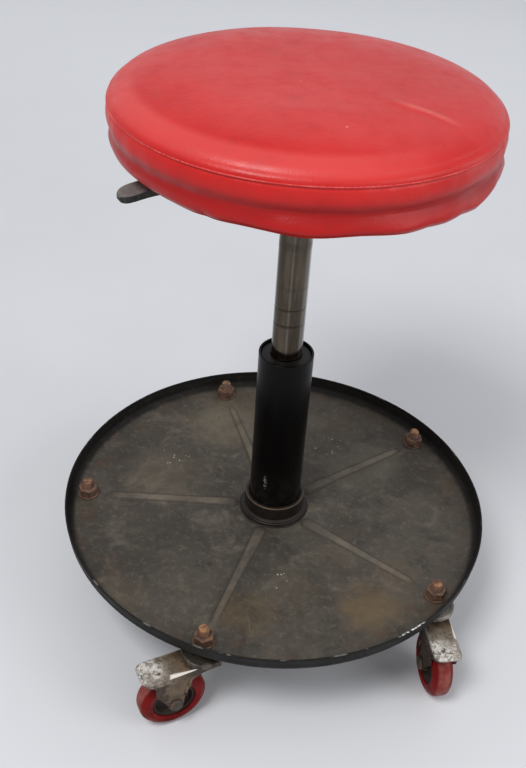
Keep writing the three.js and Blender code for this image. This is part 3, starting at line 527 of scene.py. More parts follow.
def make_tray_paint():
    """Black tray paint, worn and dusty: grey rubbed steel, brown rust stains, splashes, rust by the studs,
    a black wall, and bare metal on one stretch of the rim's edge."""
    made, spot = finish("Worn black paint")
    x, y, z = parts(spot)
    radius = maths("SQRT", x * x + y * y)
    broad = cloudy(spot, 7.0, 6, 0.62, 0.6)
    mottled = cloudy(spot, 30.0, 9, 0.72, 0.4)
    fine = cloudy(spot, 150.0, 7, 0.7)
    color = mixed(spread(broad, 0.34, 0.66), (58, 54, 49), (74, 69, 62))
    color = mixed(spread(mottled, 0.32, 0.5, 0.7, 0), color, (47, 45, 40))
    color = mixed(spread(mottled, 0.5, 0.68, 0, 0.7), color, (95, 89, 78))
    color = mixed(spread(fine, 0.5, 0.75, 0, 0.5), color, (112, 103, 89))
    color = patched(color, spot, 11.0, 0.52, 0.72, 0.28, (88, 74, 55))
    for centre, size, share, tint in TRAY_BLOTS:
        mask = ragged(spot, (*centre, FLOOR_Z), size, 0.9 * size) * spread(mottled, 0.3, 0.6, 0.4, 1.0)
        color = mixed(mask * share, color, tint)
    drops = use(SPECKS, spot, Scale=330.0, Size=0.42, Share=0.22)
    for centre, size in TRAY_SPLASHES:
        splash = ragged(spot, (*centre, FLOOR_Z), size, 0.9 * size)
        color = mixed(splash * drops * 0.75, color, (168, 162, 150))
    lines = use(SCRATCHES, spot, Scale=30.0, Width=0.01, Amount=0.36)
    color = mixed(lines * 0.4, color, (130, 121, 106))
    inner = spread(radius, 0.181, 0.176)
    rib = spread(z, (FLOOR_Z + 0.5) * MM, (FLOOR_Z + 2.0) * MM) * inner
    rib = rib * spread(radius, 0.035, 0.06, 0.45, 1.0)
    rib = rib * spread(mottled, 0.34, 0.6, 0.55, 1.0)
    tips = spread(radius, 0.174, 0.148)
    color = mixed(rib * tips * 0.55, color, (112, 103, 91))
    # Painted shade: a dark line along the foot of each bead.
    foot = spread(z, (FLOOR_Z + 0.02) * MM, (FLOOR_Z + 0.4) * MM) * inner
    side = foot * (1.0 - rib)
    color = mixed(side * tips * 0.5, color, (46, 40, 33))
    wall = spread(radius, 0.1945, 0.2005)
    color = mixed(wall, color, mixed(spread(fine, 0.5, 0.8), (20, 18, 16), (44, 38, 33)))
    near = spread(abs(radius - STUD_R * MM), 0.02, 0.006)
    color = patched(color, spot, 70.0, 0.5, 0.66, near * 0.35, (82, 57, 42))
    edge = spread(z, (RIM_Z - 0.8) * MM, (RIM_Z - 0.2) * MM)
    worn = use(PATCHES, spot, Scale=30.0, Low=0.56, High=0.66)
    rubbed = ragged(spot, (131, -160, RIM_Z), 19, 8)
    rubbed = rubbed * spread(cloudy(spot, 300.0, 5, 0.7), 0.42, 0.53)
    bare = edge * maths("MAXIMUM", rubbed, worn * 0.16)
    color = mixed(bare * 0.95, color, (232, 230, 226))
    grit = use(SPECKS, spot, Scale=330.0, Size=0.28, Share=0.1)
    color = mixed(grit * inner * 0.3, color, (130, 121, 104))
    height = mottled + cloudy(spot, 260.0, 5) * 0.5
    return wired(
        made, color, spread(mottled, 0.3, 0.75, 0.5, 0.74), bumped(height, 0.0006, 0.5),
        Metallic=bare * 0.7, Specular_IOR_Level=0.18,
    )


def make_gloss_black(name, base, rough, chips, gloss=0.14):
    """Gloss black lacquer with a few fine scratches and chips, and dust towards its foot."""
    made, spot = finish(name)
    z = parts(spot)[2]
    broad = cloudy(stretched(spot, (1, 1, 0.25)), 30.0, 6, 0.6)
    color = mixed(spread(broad, 0.4, 0.75), base, (min(255, v + 8) for v in base))
    lines = use(SCRATCHES, stretched(spot, (1, 1, 0.35)), Scale=70.0, Width=0.008, Amount=0.3)
    color = mixed(lines * 0.25, color, (70, 66, 60))
    for at, size, share in COLUMN_CHIPS:
        chip = ragged(stretched(spot, (1, 1, 0.25)), at, size, 5)
        chip = chip * spread(cloudy(spot, 520.0, 4, 0.6, 0.8), 0.5, 0.58)
        color = mixed(chip * (share * chips), color, (176, 170, 160))
    foot = spread(z, 0.165, 0.108)
    haze = foot * spread(cloudy(spot, 55.0, 7, 0.7), 0.35, 0.7)
    color = mixed(haze * 0.3, color, (50, 43, 36))
    return wired(
        made, color, spread(broad, 0.35, 0.75) * 0.14 + rough, bumped(cloudy(spot, 300.0, 4), 0.00015, 0.4),
        Specular_IOR_Level=gloss,
    )


def make_hub_paint():
    """The hub: brown-black paint, rubbed to a brassy brown on its upper edge, and a painted highlight along
    its weld.
    """
    made, spot = finish("Hub paint")
    x, y, z = parts(spot)
    mottled = cloudy(spot, 60.0, 8, 0.65)
    color = mixed(spread(mottled, 0.38, 0.68), (19, 15, 13), (32, 26, 21))
    radius = maths("SQRT", x * x + y * y)
    rim = spread(z, 0.1066, 0.1076) * spread(radius, 0.0277, 0.0287)
    rim = rim * spread(mottled, 0.3, 0.6, 0.3, 1.0)
    color = mixed(rim * 0.85, color, (84, 70, 56))
    # Painted highlight: a pale line along the fillet at the weld.
    foot = bell_mask(z, 0.0928, 0.0014)
    color = mixed(foot * 0.5, color, (74, 66, 56))
    color = patched(color, spot, 42.0, 0.56, 0.7, 0.35, (62, 42, 28))
    return wired(
        made, color, spread(mottled, 0.35, 0.7, 0.32, 0.56), bumped(mottled, 0.0007, 0.6),
        Metallic=rim * 0.5, Specular_IOR_Level=0.25,
    )


def make_tube_steel():
    """The bare steel tube: drawn lines and dull streaks down its length, pale streaks at fixed angles round
    it that are painted reflections, brown stains, brown bands and dark stop marks."""
    made, spot = finish("Bare steel")
    x, y, z = parts(spot)
    drawn = cloudy(stretched(spot, (1, 1, 0.03)), 420.0, 4)
    streak = cloudy(stretched(spot, (1, 1, 0.12)), 90.0, 6, 0.62)
    color = mixed(spread(streak, 0.35, 0.68), (95, 87, 77), (64, 57, 48))
    brown = use(PATCHES, stretched(spot, (1, 1, 0.4)), Scale=70.0, Low=0.5, High=0.68)
    color = mixed(brown * 0.45, color, (66, 50, 36))
    ends = maths("MAXIMUM", spread(z, 0.292, 0.276), spread(z, 0.392, 0.41))
    color = mixed(ends * 0.45, color, (62, 46, 33))
    wobble = (cloudy(spot, 60.0, 3) - 0.5) * 0.003
    level = z + wobble
    broken = spread(cloudy(stretched(spot, (1, 1, 0.1)), 260.0, 4), 0.3, 0.6, 0.4, 1.0)
    # Pale streaks here are painted reflections; the brown ones are stains.
    for angle, width, share, tint in TUBE_STAINS_AND_REFLECTIONS:
        across = x * -math.sin(angle) + y * math.cos(angle)
        facing = x * math.cos(angle) + y * math.sin(angle)
        line = bell_mask(across, 0.0, width * MM) * spread(facing, 0.0, 0.002)
        color = mixed(line * broken * share, color, tint)
    marks = None
    for height, width, share in TUBE_MARKS:
        band = bell_mask(level, height * MM, width * MM) * share
        marks = band if marks is None else maths("MAXIMUM", marks, band)
    marks = marks * spread(cloudy(spot, 120.0, 4), 0.36, 0.56, 0.45, 1.0)
    color = mixed(marks, color, (48, 36, 27))
    rough = spread(streak, 0.3, 0.75, 0.15, 0.27) + marks * 0.25
    return wired(made, color, rough, bumped(drawn, 0.00012, 0.5), Metallic=marks * -0.5 + 0.95)


def make_steel(name, light, dark, rough=0.38, brown=0.25, metal=0.9):
    """Plain steel or zinc with a cloudy tone, pitting and some brown in patches."""
    made, spot = finish(name)
    tone = cloudy(spot, 120.0, 7, 0.65)
    color = mixed(spread(tone, 0.35, 0.68), light, dark)
    rust = use(PATCHES, spot, Scale=95.0, Low=0.5, High=0.66)
    color = mixed(rust * brown, color, (92, 60, 38))
    color = specked(color, spot, 900.0, 0.4, 0.3, 0.3, (60, 48, 38))
    return wired(
        made, color, spread(tone, 0.3, 0.75, rough, rough + 0.22), bumped(tone, 0.0004, 0.5),
        Metallic=rust * -brown + metal,
    )


def make_stem_metal():
    """The caster stems: dirty zinc with brown grime on the cup and collar, painted shade on the casters at
    the left, and rust on the stud above the tray, with a painted highlight on its top."""
    made, spot = finish("Stem metal")
    x, _, z = parts(spot)
    tone = cloudy(spot, 130.0, 8, 0.68)
    color = mixed(spread(tone, 0.36, 0.66), (168, 162, 152), (96, 86, 74))
    grime = use(PATCHES, spot, Scale=80.0, Low=0.42, High=0.6)
    # Painted shade: the casters at the left darken, as if in the tray's shadow.
    painted_tray_shade = spread(x, 0.15, 0.09, 0.0, 0.85)
    color = mixed(maths("MAXIMUM", painted_tray_shade, grime * 0.4), color, (46, 36, 28))
    above = spread(z, 0.0862, 0.0872)
    rust = mixed(spread(tone, 0.36, 0.64), (74, 46, 33), (116, 76, 52))
    # Painted highlight: the stud's top end is paler.
    top = spread(z, 0.1035, 0.105) * spread(tone, 0.45, 0.6)
    rust = mixed(top * 0.6, rust, (164, 124, 78))
    color = mixed(above, color, rust)
    bare = (1.0 - above) * (0.8 - grime)
    return wired(
        made, color, spread(tone, 0.3, 0.72, 0.42, 0.7), bumped(tone, 0.0005, 0.6),
        Metallic=spread(bare, 0.0, 0.8, 0.05, 0.75),
    )


def make_rust():
    """Rusted fasteners: orange and dark brown in grains, with dull steel showing on the worn edges."""
    made, spot = finish("Rust")
    tone = cloudy(spot, 190.0, 8, 0.7)
    color = mixed(spread(tone, 0.36, 0.66), (70, 49, 39), (112, 80, 60))
    color = patched(color, spot, 140.0, 0.5, 0.62, 0.7, (48, 35, 29))
    color = specked(color, spot, 700.0, 0.45, 0.25, 0.4, (142, 94, 58))
    worn = use(WEAR, spot, Low=0.53, High=0.62, Amount=0.55)
    color = mixed(worn, color, (136, 118, 102))
    return wired(
        made, color, spread(tone, 0.3, 0.7, 0.62, 0.86), bumped(tone, 0.0006, 0.8), Metallic=worn * 0.6,
    )


def make_fork_zinc():
    """The caster forks, by the place on the fork that their own UV gives in tenths of a metre: smooth taupe
    legs with brown grime at the rear and the axle, a white crust with dark pits on the hood's end, a painted
    highlight along the bend, brown dust on the crown that turns to painted shade by the stem, and painted
    shade down the far side."""
    made, spot = finish("Corroded zinc")
    z = parts(spot)[2]
    along, beside = (v * 0.1 for v in own_uv(spot)[:2])
    tone = cloudy(spot, 75.0, 7, 0.65)
    fine = cloudy(spot, 260.0, 8, 0.72)
    rough_z = z + tone * 0.008 - 0.004
    rough_x = along + tone * 0.03 - 0.015
    leg = mixed(spread(tone, 0.36, 0.68), (112, 94, 77), (88, 71, 56))
    upper = spread(rough_z, 0.0592, 0.0628)
    taupe = mixed(spread(fine, 0.4, 0.62), (124, 114, 101), (84, 73, 62))
    brown = mixed(spread(fine, 0.4, 0.66), (74, 58, 44), (112, 93, 74))
    top = mixed(spread(rough_x, 0.034, 0.022), taupe, brown)
    white = mixed(spread(fine, 0.44, 0.6), (200, 196, 189), (118, 109, 97))
    hood = spread(rough_x, 0.036, 0.047) * spread(rough_z, 0.0632, 0.0662)
    top = mixed(hood, top, white)
    # Painted shade: the crown darkens towards the stem, under the tray.
    top = mixed(spread(rough_x, 0.026, 0.012, 0.0, 0.75), top, (40, 33, 26))
    color = mixed(upper, leg, top)
    hood = hood * upper
    crust = use(PATCHES, spot, Scale=64.0, Low=0.5, High=0.62)
    color = mixed(crust * hood * 0.5, color, (112, 98, 82))
    pits = use(SPECKS, spot, Scale=210.0, Size=0.55, Share=0.4)
    pits = pits * spread(fine, 0.4, 0.54)
    color = mixed(pits * hood * 0.9, color, (44, 36, 30))
    # Painted highlight along the bend: full on the near side, a quarter on the far side.
    wide = spread(along, 0.004, 0.036, 0.0004, 0.0019)
    bend_highlight = spread(abs(z - 0.0700), wide, wide * 0.5)
    near_side, far_side = spread(beside, 0.0096, 0.0108), spread(beside, -0.0096, -0.0108, 0.0, 0.25)
    bend_highlight = bend_highlight * maths("MAXIMUM", near_side, far_side)
    bend_highlight = bend_highlight * spread(rough_x, 0.0385, 0.0355)
    color = mixed(bend_highlight * 0.9, color, (228, 220, 210))
    rear = spread(rough_x, 0.036, 0.0405) * spread(z, 0.0645, 0.0615)
    flank = spread(rough_x, 0.036, 0.041) * spread(z, 0.0692, 0.0672)
    color = mixed(flank * 0.8, color, (80, 66, 56))
    hem = spread(rough_x, 0.04, 0.046) * spread(rough_z, 0.0672, 0.0648)
    color = mixed(hem * 0.8, color, (80, 65, 54))
    near = spread(rough_x, 0.034, 0.041) * spread(beside, 0.0085, 0.0112)
    stained = mixed(spread(fine, 0.42, 0.6), (74, 58, 46), (156, 146, 133))
    color = mixed(near * 0.75, color, stained)
    shaded = spread(beside, -0.0108, -0.0125) * spread(z, 0.0700, 0.0680)
    color = mixed(shaded * 0.6, color, (30, 25, 21))
    foot = spread(rough_z, 0.0305, 0.0255)
    grime = maths("MAXIMUM", rear, foot)
    color = mixed(grime * 0.85, color, (50, 32, 22))
    smear = use(PATCHES, spot, Scale=48.0, Low=0.5, High=0.66)
    color = mixed(smear * (1.0 - bend_highlight) * 0.4, color, (66, 50, 37))
    height = fine + pits * hood * -1.2
    clean = 1.0 - maths("MAXIMUM", grime, upper)
    return wired(
        made, color, spread(fine, 0.3, 0.75, 0.4, 0.62), bumped(height, 0.0004, 0.6), Metallic=clean * 0.4,
        Specular_IOR_Level=0.25,
    )


def make_tyre():
    """Red polyurethane, with grit pressed in: deep red on the sides and scuffed dull on the tread, whose
    middle is where the piece's UV, in tenths of a metre across the wheel, is 0. The pale scuffing on the
    tread is partly a painted highlight."""
    made, spot = finish("Red tyre")
    tone = cloudy(spot, 70.0, 6, 0.6)
    across = own_uv(spot)[0]
    color = mixed(spread(tone, 0.36, 0.7), (112, 13, 12), (84, 9, 9))
    # The scuffed tread is partly a painted highlight.
    tread = spread(abs(across), 0.066, 0.045)
    dull = tread * spread(cloudy(spot, 110.0, 6, 0.65), 0.36, 0.62, 0.25, 0.7)
    color = mixed(dull, color, (142, 88, 79))
    color = patched(color, spot, 85.0, 0.52, 0.74, 0.22, (122, 52, 46))
    color = specked(color, spot, 420.0, 0.35, 0.12, 0.55, (58, 28, 22))
    return wired(
        made, color, spread(tone, 0.3, 0.75, 0.36, 0.55), bumped(cloudy(spot, 380.0, 5), 0.0003, 0.5),
        Specular_IOR_Level=0.09,
    )


def make_plastic(name, base, rough, dusty=0.3, gloss=0.4):
    """Moulded plastic or rubber: fine texture, scuffs and some dust on top."""
    made, spot = finish(name)
    tone = cloudy(spot, 80.0, 6, 0.65)
    color = mixed(spread(tone, 0.38, 0.7), base, (min(255, v + 16) for v in base))
    lines = use(SCRATCHES, spot, Scale=110.0, Width=0.02, Amount=0.5)
    color = mixed(lines * 0.35, color, (134, 128, 122))
    dusted = use(DUST, spot, Color=color, Dust=rgb(148, 140, 134), Amount=dusty)
    return wired(
        made, dusted, spread(tone, 0.3, 0.75, rough, rough + 0.2),
        bumped(cloudy(spot, 500.0, 3), 0.0002, 0.5), Specular_IOR_Level=gloss,
    )


def make_plywood():
    """Plywood: long grain on the face, seven plies on the edge, greyed with age."""
    made, spot = finish("Plywood")
    z = parts(spot)[2]
    grain = cloudy(stretched(spot, (1, 0.07, 1)), 260.0, 7, 0.6)
    waves = {"Vector": stretched(spot, (1, 0.12, 1)), "Scale": 22.0, "Distortion": 7.0, "Detail": 3.0}
    rings = node("ShaderNodeTexWave", waves, 1)
    color = mixed(spread(grain, 0.35, 0.7), (176, 141, 98), (140, 106, 70))
    color = mixed(rings * 0.35, color, (118, 86, 56))
    ply = maths("SINE", z * (TAU / (3.4 * MM)))
    up = parts(node("ShaderNodeNewGeometry", {}, "Normal", spot.tree))[2]
    side = spread(up, -0.5, 0.0)
    color = mixed(spread(ply, -0.2, 0.2) * side, color, (96, 70, 46))
    return wired(made, color, 0.72, bumped(grain, 0.0004, 0.5))


VINYL, SEAM = make_vinyl(), make_seam()
TRAY_PAINT, HUB_PAINT = make_tray_paint(), make_hub_paint()
COLUMN_BLACK = make_gloss_black("Gloss black", (7, 6, 6), 0.2, 1.0, 0.1)
BUSH_BLACK = make_gloss_black("Bush black", (20, 17, 16), 0.3, 0.0, 0.18)
BRACKET_BLACK = make_gloss_black("Bracket black", (30, 28, 27), 0.42, 0.0, 0.3)
TUBE_STEEL = make_tube_steel()
STEEL = make_steel("Dull steel", (150, 146, 138), (110, 104, 96))
AXLE_STEEL = make_steel("Grimy axle", (74, 64, 54), (52, 43, 35), 0.5, 0.4, 0.2)
ZINC = make_steel("Bright zinc", (216, 212, 204), (176, 168, 156), 0.3, 0.3)
RUST = make_rust()
STEM_METAL = make_stem_metal()
FORK_ZINC = make_fork_zinc()
TYRE = make_tyre()
CORE = make_plastic("Dark core", (34, 23, 17), 0.5, 0.1, 0.15)
PADDLE = make_plastic("Black plastic", (24, 22, 21), 0.36, 0.55, 0.25)
RUBBER = make_plastic("Black rubber", (26, 25, 25), 0.7, 0.1)
WOOD = make_plywood()


# ------------------------ tray


def stud_angle(i):
    """The angle of a stud: they stand on a circle, a fifth of a turn apart."""
    return FIRST_STUD + (i - 1) * TAU / 5


def tray_outline():
    """Radius and height round the pan's section: up the floor, the coved corner, the rim and back below."""
    floor = np.concatenate([
        [30.0, 31.5, 33.0], np.linspace(34.5, 50, 18), np.linspace(56, 150, 13), np.linspace(154, 176, 22),
        [181, 186, 191, COVE_AT[0]],
    ])
    bend = np.radians(np.linspace(-90, 0, 9))[1:]
    curve = np.stack([np.cos(bend), np.sin(bend)], -1)
    cove = COVE_AT + COVE_R * curve
    over, half = np.radians(np.linspace(180, 0, 9)), SHEET / 2
    lip = [TRAY_R - half, RIM_Z - half] + half * np.stack([np.cos(over), np.sin(over)], -1)
    outer = COVE_AT + (COVE_R + SHEET) * curve[::-1]
    top = np.stack([floor, np.full(len(floor), FLOOR_Z)], -1)
    under = np.stack([floor[::-1], np.full(len(floor), FLOOR_Z - SHEET)], -1)
    wall = np.stack([np.linspace(203.4, 204.3, 4), np.linspace(96.5, 101.0, 4)], -1)
    back = np.stack([np.linspace(205.9, 205.0, 4), np.linspace(101.0, 96.5, 4)], -1)
    return np.vstack([top, cove, wall, lip, back, outer, under])


def tray_form():
    """The pan: its section carried round, with columns that run straight beside each bead. A column's angle
    is the stud's angle plus the arc whose sine is its distance from the bead's middle over the radius. Near
    a bead the floor rises by the bead's height, narrow on top, with soft S-shaped sides, and dies away at
    both ends."""
    section = tray_outline()
    r, z = section[:, 0], section[:, 1]
    beside = np.linspace(-9.6, 9.6, 33)
    between = np.arange(1, 25) / 25
    lean = np.arcsin(np.clip(beside[None] / r[:, None], -1, 1))
    gap = lean[:, -1:] + (TAU / 5 - 2 * lean[:, -1:]) * between[None]
    sector = np.concatenate([lean, gap], 1)
    angle = np.concatenate([stud_angle(i) + sector for i in CASTERS], 1)
    across = r[:, None] * np.sin(sector)
    along = r[:, None] * np.cos(sector)
    width = np.interp(along, [BEAD_FROM + 2, BEAD_TO], [6.6, 4.3])
    ends = smooth((along - BEAD_FROM) / 8) * smooth((BEAD_TO - along) / 16)
    q = np.abs(across) / np.maximum(width * (0.6 + 0.4 * ends), 0.1)
    q[:, len(beside):] = 9
    flat = (np.abs(z - FLOOR_Z) < 0.01) | (np.abs(z - FLOOR_Z + SHEET) < 0.01)
    lift = 2.2 * ends * smooth((1.32 - q) / 1.02) * flat[:, None]
    lift = np.tile(lift, (1, 5))
    warp = 0.22 * np.sin(3 * angle + 0.6) + 0.14 * np.sin(8 * angle + 2.0) + 0.08 * np.sin(17 * angle)
    upper = smooth((z - 96) / 7)[:, None]
    reach = r[:, None] + warp * upper * 0.8
    out = r[:, None]
    sag = 0.35 * np.sin(2 * angle + 1.1) * smooth((out - 60) / 80) * smooth((198 - out) / 30) - 0.35
    sag = sag * smooth((out - 45) / 40) * smooth((180 - out) / 12)
    return shell(ringed(reach, angle, z[:, None] + lift + sag * flat[:, None]), True, True)


def weld_form(radius, height, size, ripples, seed):
    """A run of weld: a small round section carried round, its size swelling in ripples."""
    angle = circle(360)
    around = circle(12)[:, None]
    slow = np.sin(angle * 5 + seed) * 0.18 + np.sin(angle * 11 + 2 * seed) * 0.12
    swell = size * (1 + slow + 0.16 * np.abs(np.sin(angle * ripples / 2)))
    r = radius + swell * np.cos(around)
    return shell(ringed(r, angle, height + 0.75 * swell * np.sin(around)), True, True)


piece("tray_pan", tray_form(), TRAY_PAINT, "base", ["tray"])

hub = rounded(
    [(25.3, COLLAR_Z), (HUB_R, COLLAR_Z), (HUB_R, 91.1), (FLANGE_R, 91.1), (FLANGE_R, 87.3),
     (HUB_R, 87.3), (HUB_R, 53.0), (24.0, 53.0)],
    [0.9, 1.4, 2.6, 1.6, 0.4, 0.2, 1.5, 0.8], 6,
)
piece(
    "hub_collar",
    joined(turned(finer(hub, 1.6), 144), weld_form(FLANGE_R + 0.1, 87.8, 1.0, 84, 0.4)),
    HUB_PAINT, "base", ["hub_socket"],
)

column = rounded(
    [(COLUMN_R - 2, COLUMN_Z), (COLUMN_R, COLUMN_Z), (COLUMN_R, TAPER_Z), (23.6, COLUMN_FOOT),
     (6.0, COLUMN_FOOT), (6.0, COLUMN_FOOT + 3), (22.0, COLUMN_FOOT + 3), (COLUMN_R - 2, TAPER_Z)],
    [0.5, 0.9, 6, 1.2, 0.3, 0.3, 0.6, 6],
)
piece("lift_column", turned(finer(column, 6), 128), COLUMN_BLACK, "base", ["column_tube"])

bush = rounded(
    [(14.3, 272.9), (16.2, 273.2), (22.7, 272.4), (22.7, 213.0), (14.3, 213.0)], [0.4, 1.2, 0.8, 0.5, 0.5],
)
piece("lift_bush", turned(finer(bush, 3), 96), BUSH_BLACK, "base", ["guide_bush"])


# ------------------------ gas lift and bracket


def tube_form():
    """The pressure tube: straight, with two shallow rolled grooves, a rounded foot and a tapered head."""
    z = np.linspace(TUBE_FOOT + 1, TUBE_HEAD - 1, 70)
    z = np.unique(np.concatenate([z, np.linspace(304, 329, 51)]))
    r = TUBE_R - 0.3 * sum(bell(z, at, 1.0) for at in TUBE_GROOVES) - 0.7 * smooth((z - 415) / 32)
    side = np.stack([r, z], -1)
    foot = [(0, TUBE_FOOT), (TUBE_R - 1.4, TUBE_FOOT), (TUBE_R - 0.4, TUBE_FOOT + 0.4)]
    head = [(TUBE_R - 1.4, TUBE_HEAD), (0, TUBE_HEAD)]
    return turned(np.vstack([foot, side, head]), 96, False)


piece("lift_tube", tube_form(), TUBE_STEEL, "seat", ["pressure_tube"])


def bracket_form():
    """The bracket: one section carried round from the socket, up the pan's wall and out along the plate.
    Past the pan's mouth the section's radius grows into a square with rounded corners: the distance at
    which a ray meets it, as a superellipse of power 7."""
    angle = circle(192)
    square = 75.0 / (np.abs(np.cos(angle)) ** 7 + np.abs(np.sin(angle)) ** 7) ** (1 / 7)
    outline = rounded(
        [(13.9, 415.0), (17.4, 415.0), (17.4, 441.7), (38.0, 441.7), (56.0, 469.2), (100.0, 469.2),
         (100.0, 471.7), (54.4, 471.7), (36.6, 444.2), (13.9, 444.2)],
        [0.6, 1.2, 2.5, 6, 6, 0.8, 0.8, 5, 5, 0.5], 6,
    )
    r, z = finer(outline, 5).T
    share = np.clip((r - 58) / 42, 0, 1)[:, None]
    reach = r[:, None] * (1 - (share > 0)) + (share > 0) * (58 + (square - 58) * share)
    return shell(ringed(reach, angle, z[:, None]), True, True)


piece("bracket_plate", bracket_form(), BRACKET_BLACK, "seat", ["seat_bracket"])

board = rounded([(0, BOARD_LOW), (BOARD_R, BOARD_LOW), (BOARD_R, 484.0), (0, 484.0)], [0, 1.2, 1.2, 0])
piece("plywood_board", turned(finer(board, 12), 128, False), WOOD, "seat", ["seat_board"])

screw_outline = rounded(
    [(0, 466.7), (1.6, 466.7), (2.4, 465.3), (5.5, 466.4), (5.5, 468.9), (3.0, 468.9), (3.0, 480.9),
     (0, 480.9)],
    [0, 0.4, 0.5, 1.6, 0.3, 0.2, 1, 0],
)
for number in range(1, 5):
    lowest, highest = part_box(f"bracket_screw_{number}")
    x, y = [(lowest[k] + highest[k]) / 2 / MM for k in (0, 1)]
    piece(
        f"screw_{number}", placed(turned(screw_outline, 40, False), (x, y, 0)), ZINC, "seat",
        [f"bracket_screw_{number}"],
    )


# ------------------------ lever


def lever_height(x):
    """The lever's middle line: level to 50 mm out, up by its rise over 44 mm, and level again."""
    return LEVER_Z + LEVER_RISE * smooth((x - 50) / 44)


def arm_form():
    """The lever's strip: a rounded oblong section carried along the middle line, with an eye on the pin."""
    x = np.linspace(-6, 126, 90)[:, None]
    y, z = rounded([(-6, -1.75), (6, -1.75), (6, 1.75), (-6, 1.75)], 0.7, 4).T
    grid = np.stack([np.repeat(x, len(y), 1), np.repeat(y[None], 90, 0), lever_height(x) + z[None]], -1)
    strip = shell(closed(grid), False, True)
    eye = turned(rounded([(2.8, -6), (5.5, -6), (5.5, 6), (2.8, 6)], 0.5, 4), 40)
    return joined(strip, placed(eye, (PIN_AT, 0, LEVER_Z), 0, True))


def paddle_form():
    """The moulded paddle: a squarish ring of power 6 carried from root to tip. Its half width rounds off
    over the last quarter, its thickness falls to the tip, its line droops, and its top is dished between
    rails."""
    tip = 1 - 0.22 * np.cos(np.linspace(0, math.pi / 2, 16))
    t = np.concatenate([np.linspace(0, 0.78, 30), tip[1:]])[:, None]
    around = circle(64)[None]
    x = 102 + 56 * t
    root = 0.84 + 0.16 * smooth(t / 0.2)
    half = 9.5 * root * np.sqrt(np.clip(1 - (np.clip(t - 0.76, 0, 1) / 0.24) ** 2.4, 0, 1)) + 0.02
    thick = (4.0 - 0.7 * t) * np.sqrt(np.clip(1 - (np.clip(t - 0.9, 0, 1) / 0.1) ** 2, 0, 1)) ** 0.8 + 0.02
    power = 2 / 6
    c, s = np.cos(around), np.sin(around)
    y = half * np.sign(c) * np.abs(c) ** power
    z = thick * np.sign(s) * np.abs(s) ** power
    dish = smooth(t / 0.25) * smooth((1 - t) / 0.12) * np.clip(1 - (y / (0.78 * half)) ** 2, 0, 1)
    z = z - dish * (s > 0)
    droop = 4 * (np.clip(t - 0.43, 0, 1) / 0.57) ** 2
    grid = np.stack([np.repeat(x, 64, 1), y, LEVER_Z + LEVER_RISE - droop + z], -1)
    return shell(closed(grid), False, True)


piece(
    "lever_strip", placed(arm_form(), (0, 0, 0), LEVER_ANGLE), BRACKET_BLACK, "lever",
    ["lever_arm"],
)
piece(
    "lever_handle", placed(paddle_form(), (0, 0, 0), LEVER_ANGLE), PADDLE, "lever",
    ["lever_paddle"],
)


# ------------------------ casters


HOOD_END, HOOD_CORNER, HOOD_BEND, LIP_Z, END_LEAN = 60.0, 7.0, 3.0, 62.6, 0.7


def hexagon_reach(angle, flats):
    """How far out a hexagon's side lies at each angle, for its width across flats."""
    turn = np.mod(angle, TAU / 6) - TAU / 12
    return flats / 2 / np.cos(turn)


def nut_form(flats, low, high, bore):
    """A nut: the hexagon carried up, cut by a cone of 30 degrees at each end, and closed to its bore."""
    angle = circle(96)[None]
    z = np.concatenate([np.linspace(low, low + 1.6, 7), np.linspace(high - 1.6, high, 7)])[:, None]
    cone = flats / 2 - 0.2 + 1.75 * np.minimum(z - low, high - z)
    r = np.minimum(hexagon_reach(angle, flats), cone)
    rows = [(bore, low), (bore + 1.4, low)]
    inner = np.array(rows + [(bore + 0.9, high), (bore, high - 0.8)])
    r = np.vstack([np.repeat(inner[:2, :1], 96, 1), r, np.repeat(inner[2:, :1], 96, 1)])
    z = np.concatenate([inner[:2, 1], z[:, 0], inner[2:, 1]])[:, None]
    return shell(ringed(r, angle, z), True, True)


def thread_form(radius, pitch, low, high):
    """A threaded stud: its radius falls by a triangle wave that climbs one pitch a turn, ends chamfered."""
    angle = circle(48)[None]
    z = np.arange(low, high + 1e-6, pitch / 8)[:, None]
    turn = np.mod(z / pitch - angle / TAU, 1)
    depth = 0.62 * (1 - np.abs(2 * turn - 1)) * smooth((high - z) / 1.5)
    r = radius - depth - 0.9 * smooth((z - high + 1.1) / 1.1)
    return shell(closed(ringed(r, angle, z)), False, True)


def stem_form():
    """The stem: the race cup with its turned-down rim, the hexagon collar and the threaded stud."""
    cup = rounded(
        [(0, 76.2), (17.9, 76.2), (17.9, 73.6), (19.7, 73.6), (19.7, 78.2),
         (0, 78.2)], [0, 1, 0.6, 0.6, 2, 0], 5,
    )
    collar = nut_form(17.0, 77.9, 85.1, 2.0)
    shank = turned([(0, 71.9), (4.9, 71.9), (4.9, 76.5), (0, 76.5)], 40, False)
    return joined(turned(cup, 80, False), collar, shank, thread_form(5.0, 1.25, 78.0, 105.2))


def side_edge():
    """The fork's lower edge along one side, as x and z from the stem's axis: a cubic curve from the front
    corner down to the round end at the axle, round that end, and up over the shoulder by two quadratic
    curves to the lip."""
    t = np.linspace(0, 1, 24)[:, None]
    corners = np.array([(-12, 64.2), (19, 64.2), (19, 56), (23, 31)], float)
    weights = np.hstack([(1 - t) ** 3, 3 * t * (1 - t) ** 2, 3 * t**2 * (1 - t), t**3])
    front = weights @ corners
    angle = np.radians(np.linspace(180, 360, 24))[:, None]
    end = np.array([TRAIL, WHEEL_R]) + 7 * np.hstack([np.cos(angle), np.sin(angle)])
    bow = np.hstack([(1 - t) ** 2, 2 * t * (1 - t), t**2])
    rise = bow @ [(37, 31), (41.5, 41), (48, 48)]
    last = bow @ [(48, 48), (48, 57), (48.7, LIP_Z)]
    path = np.vstack([front, end[1:], rise[1:], last[1:]])
    run = np.concatenate([[0], np.cumsum(np.linalg.norm(np.diff(path, axis=0), axis=1))])
    stops = np.linspace(0, run[-1], 84)
    return np.stack([np.interp(stops, run, path[:, 0]), np.interp(stops, run, path[:, 1])], -1)


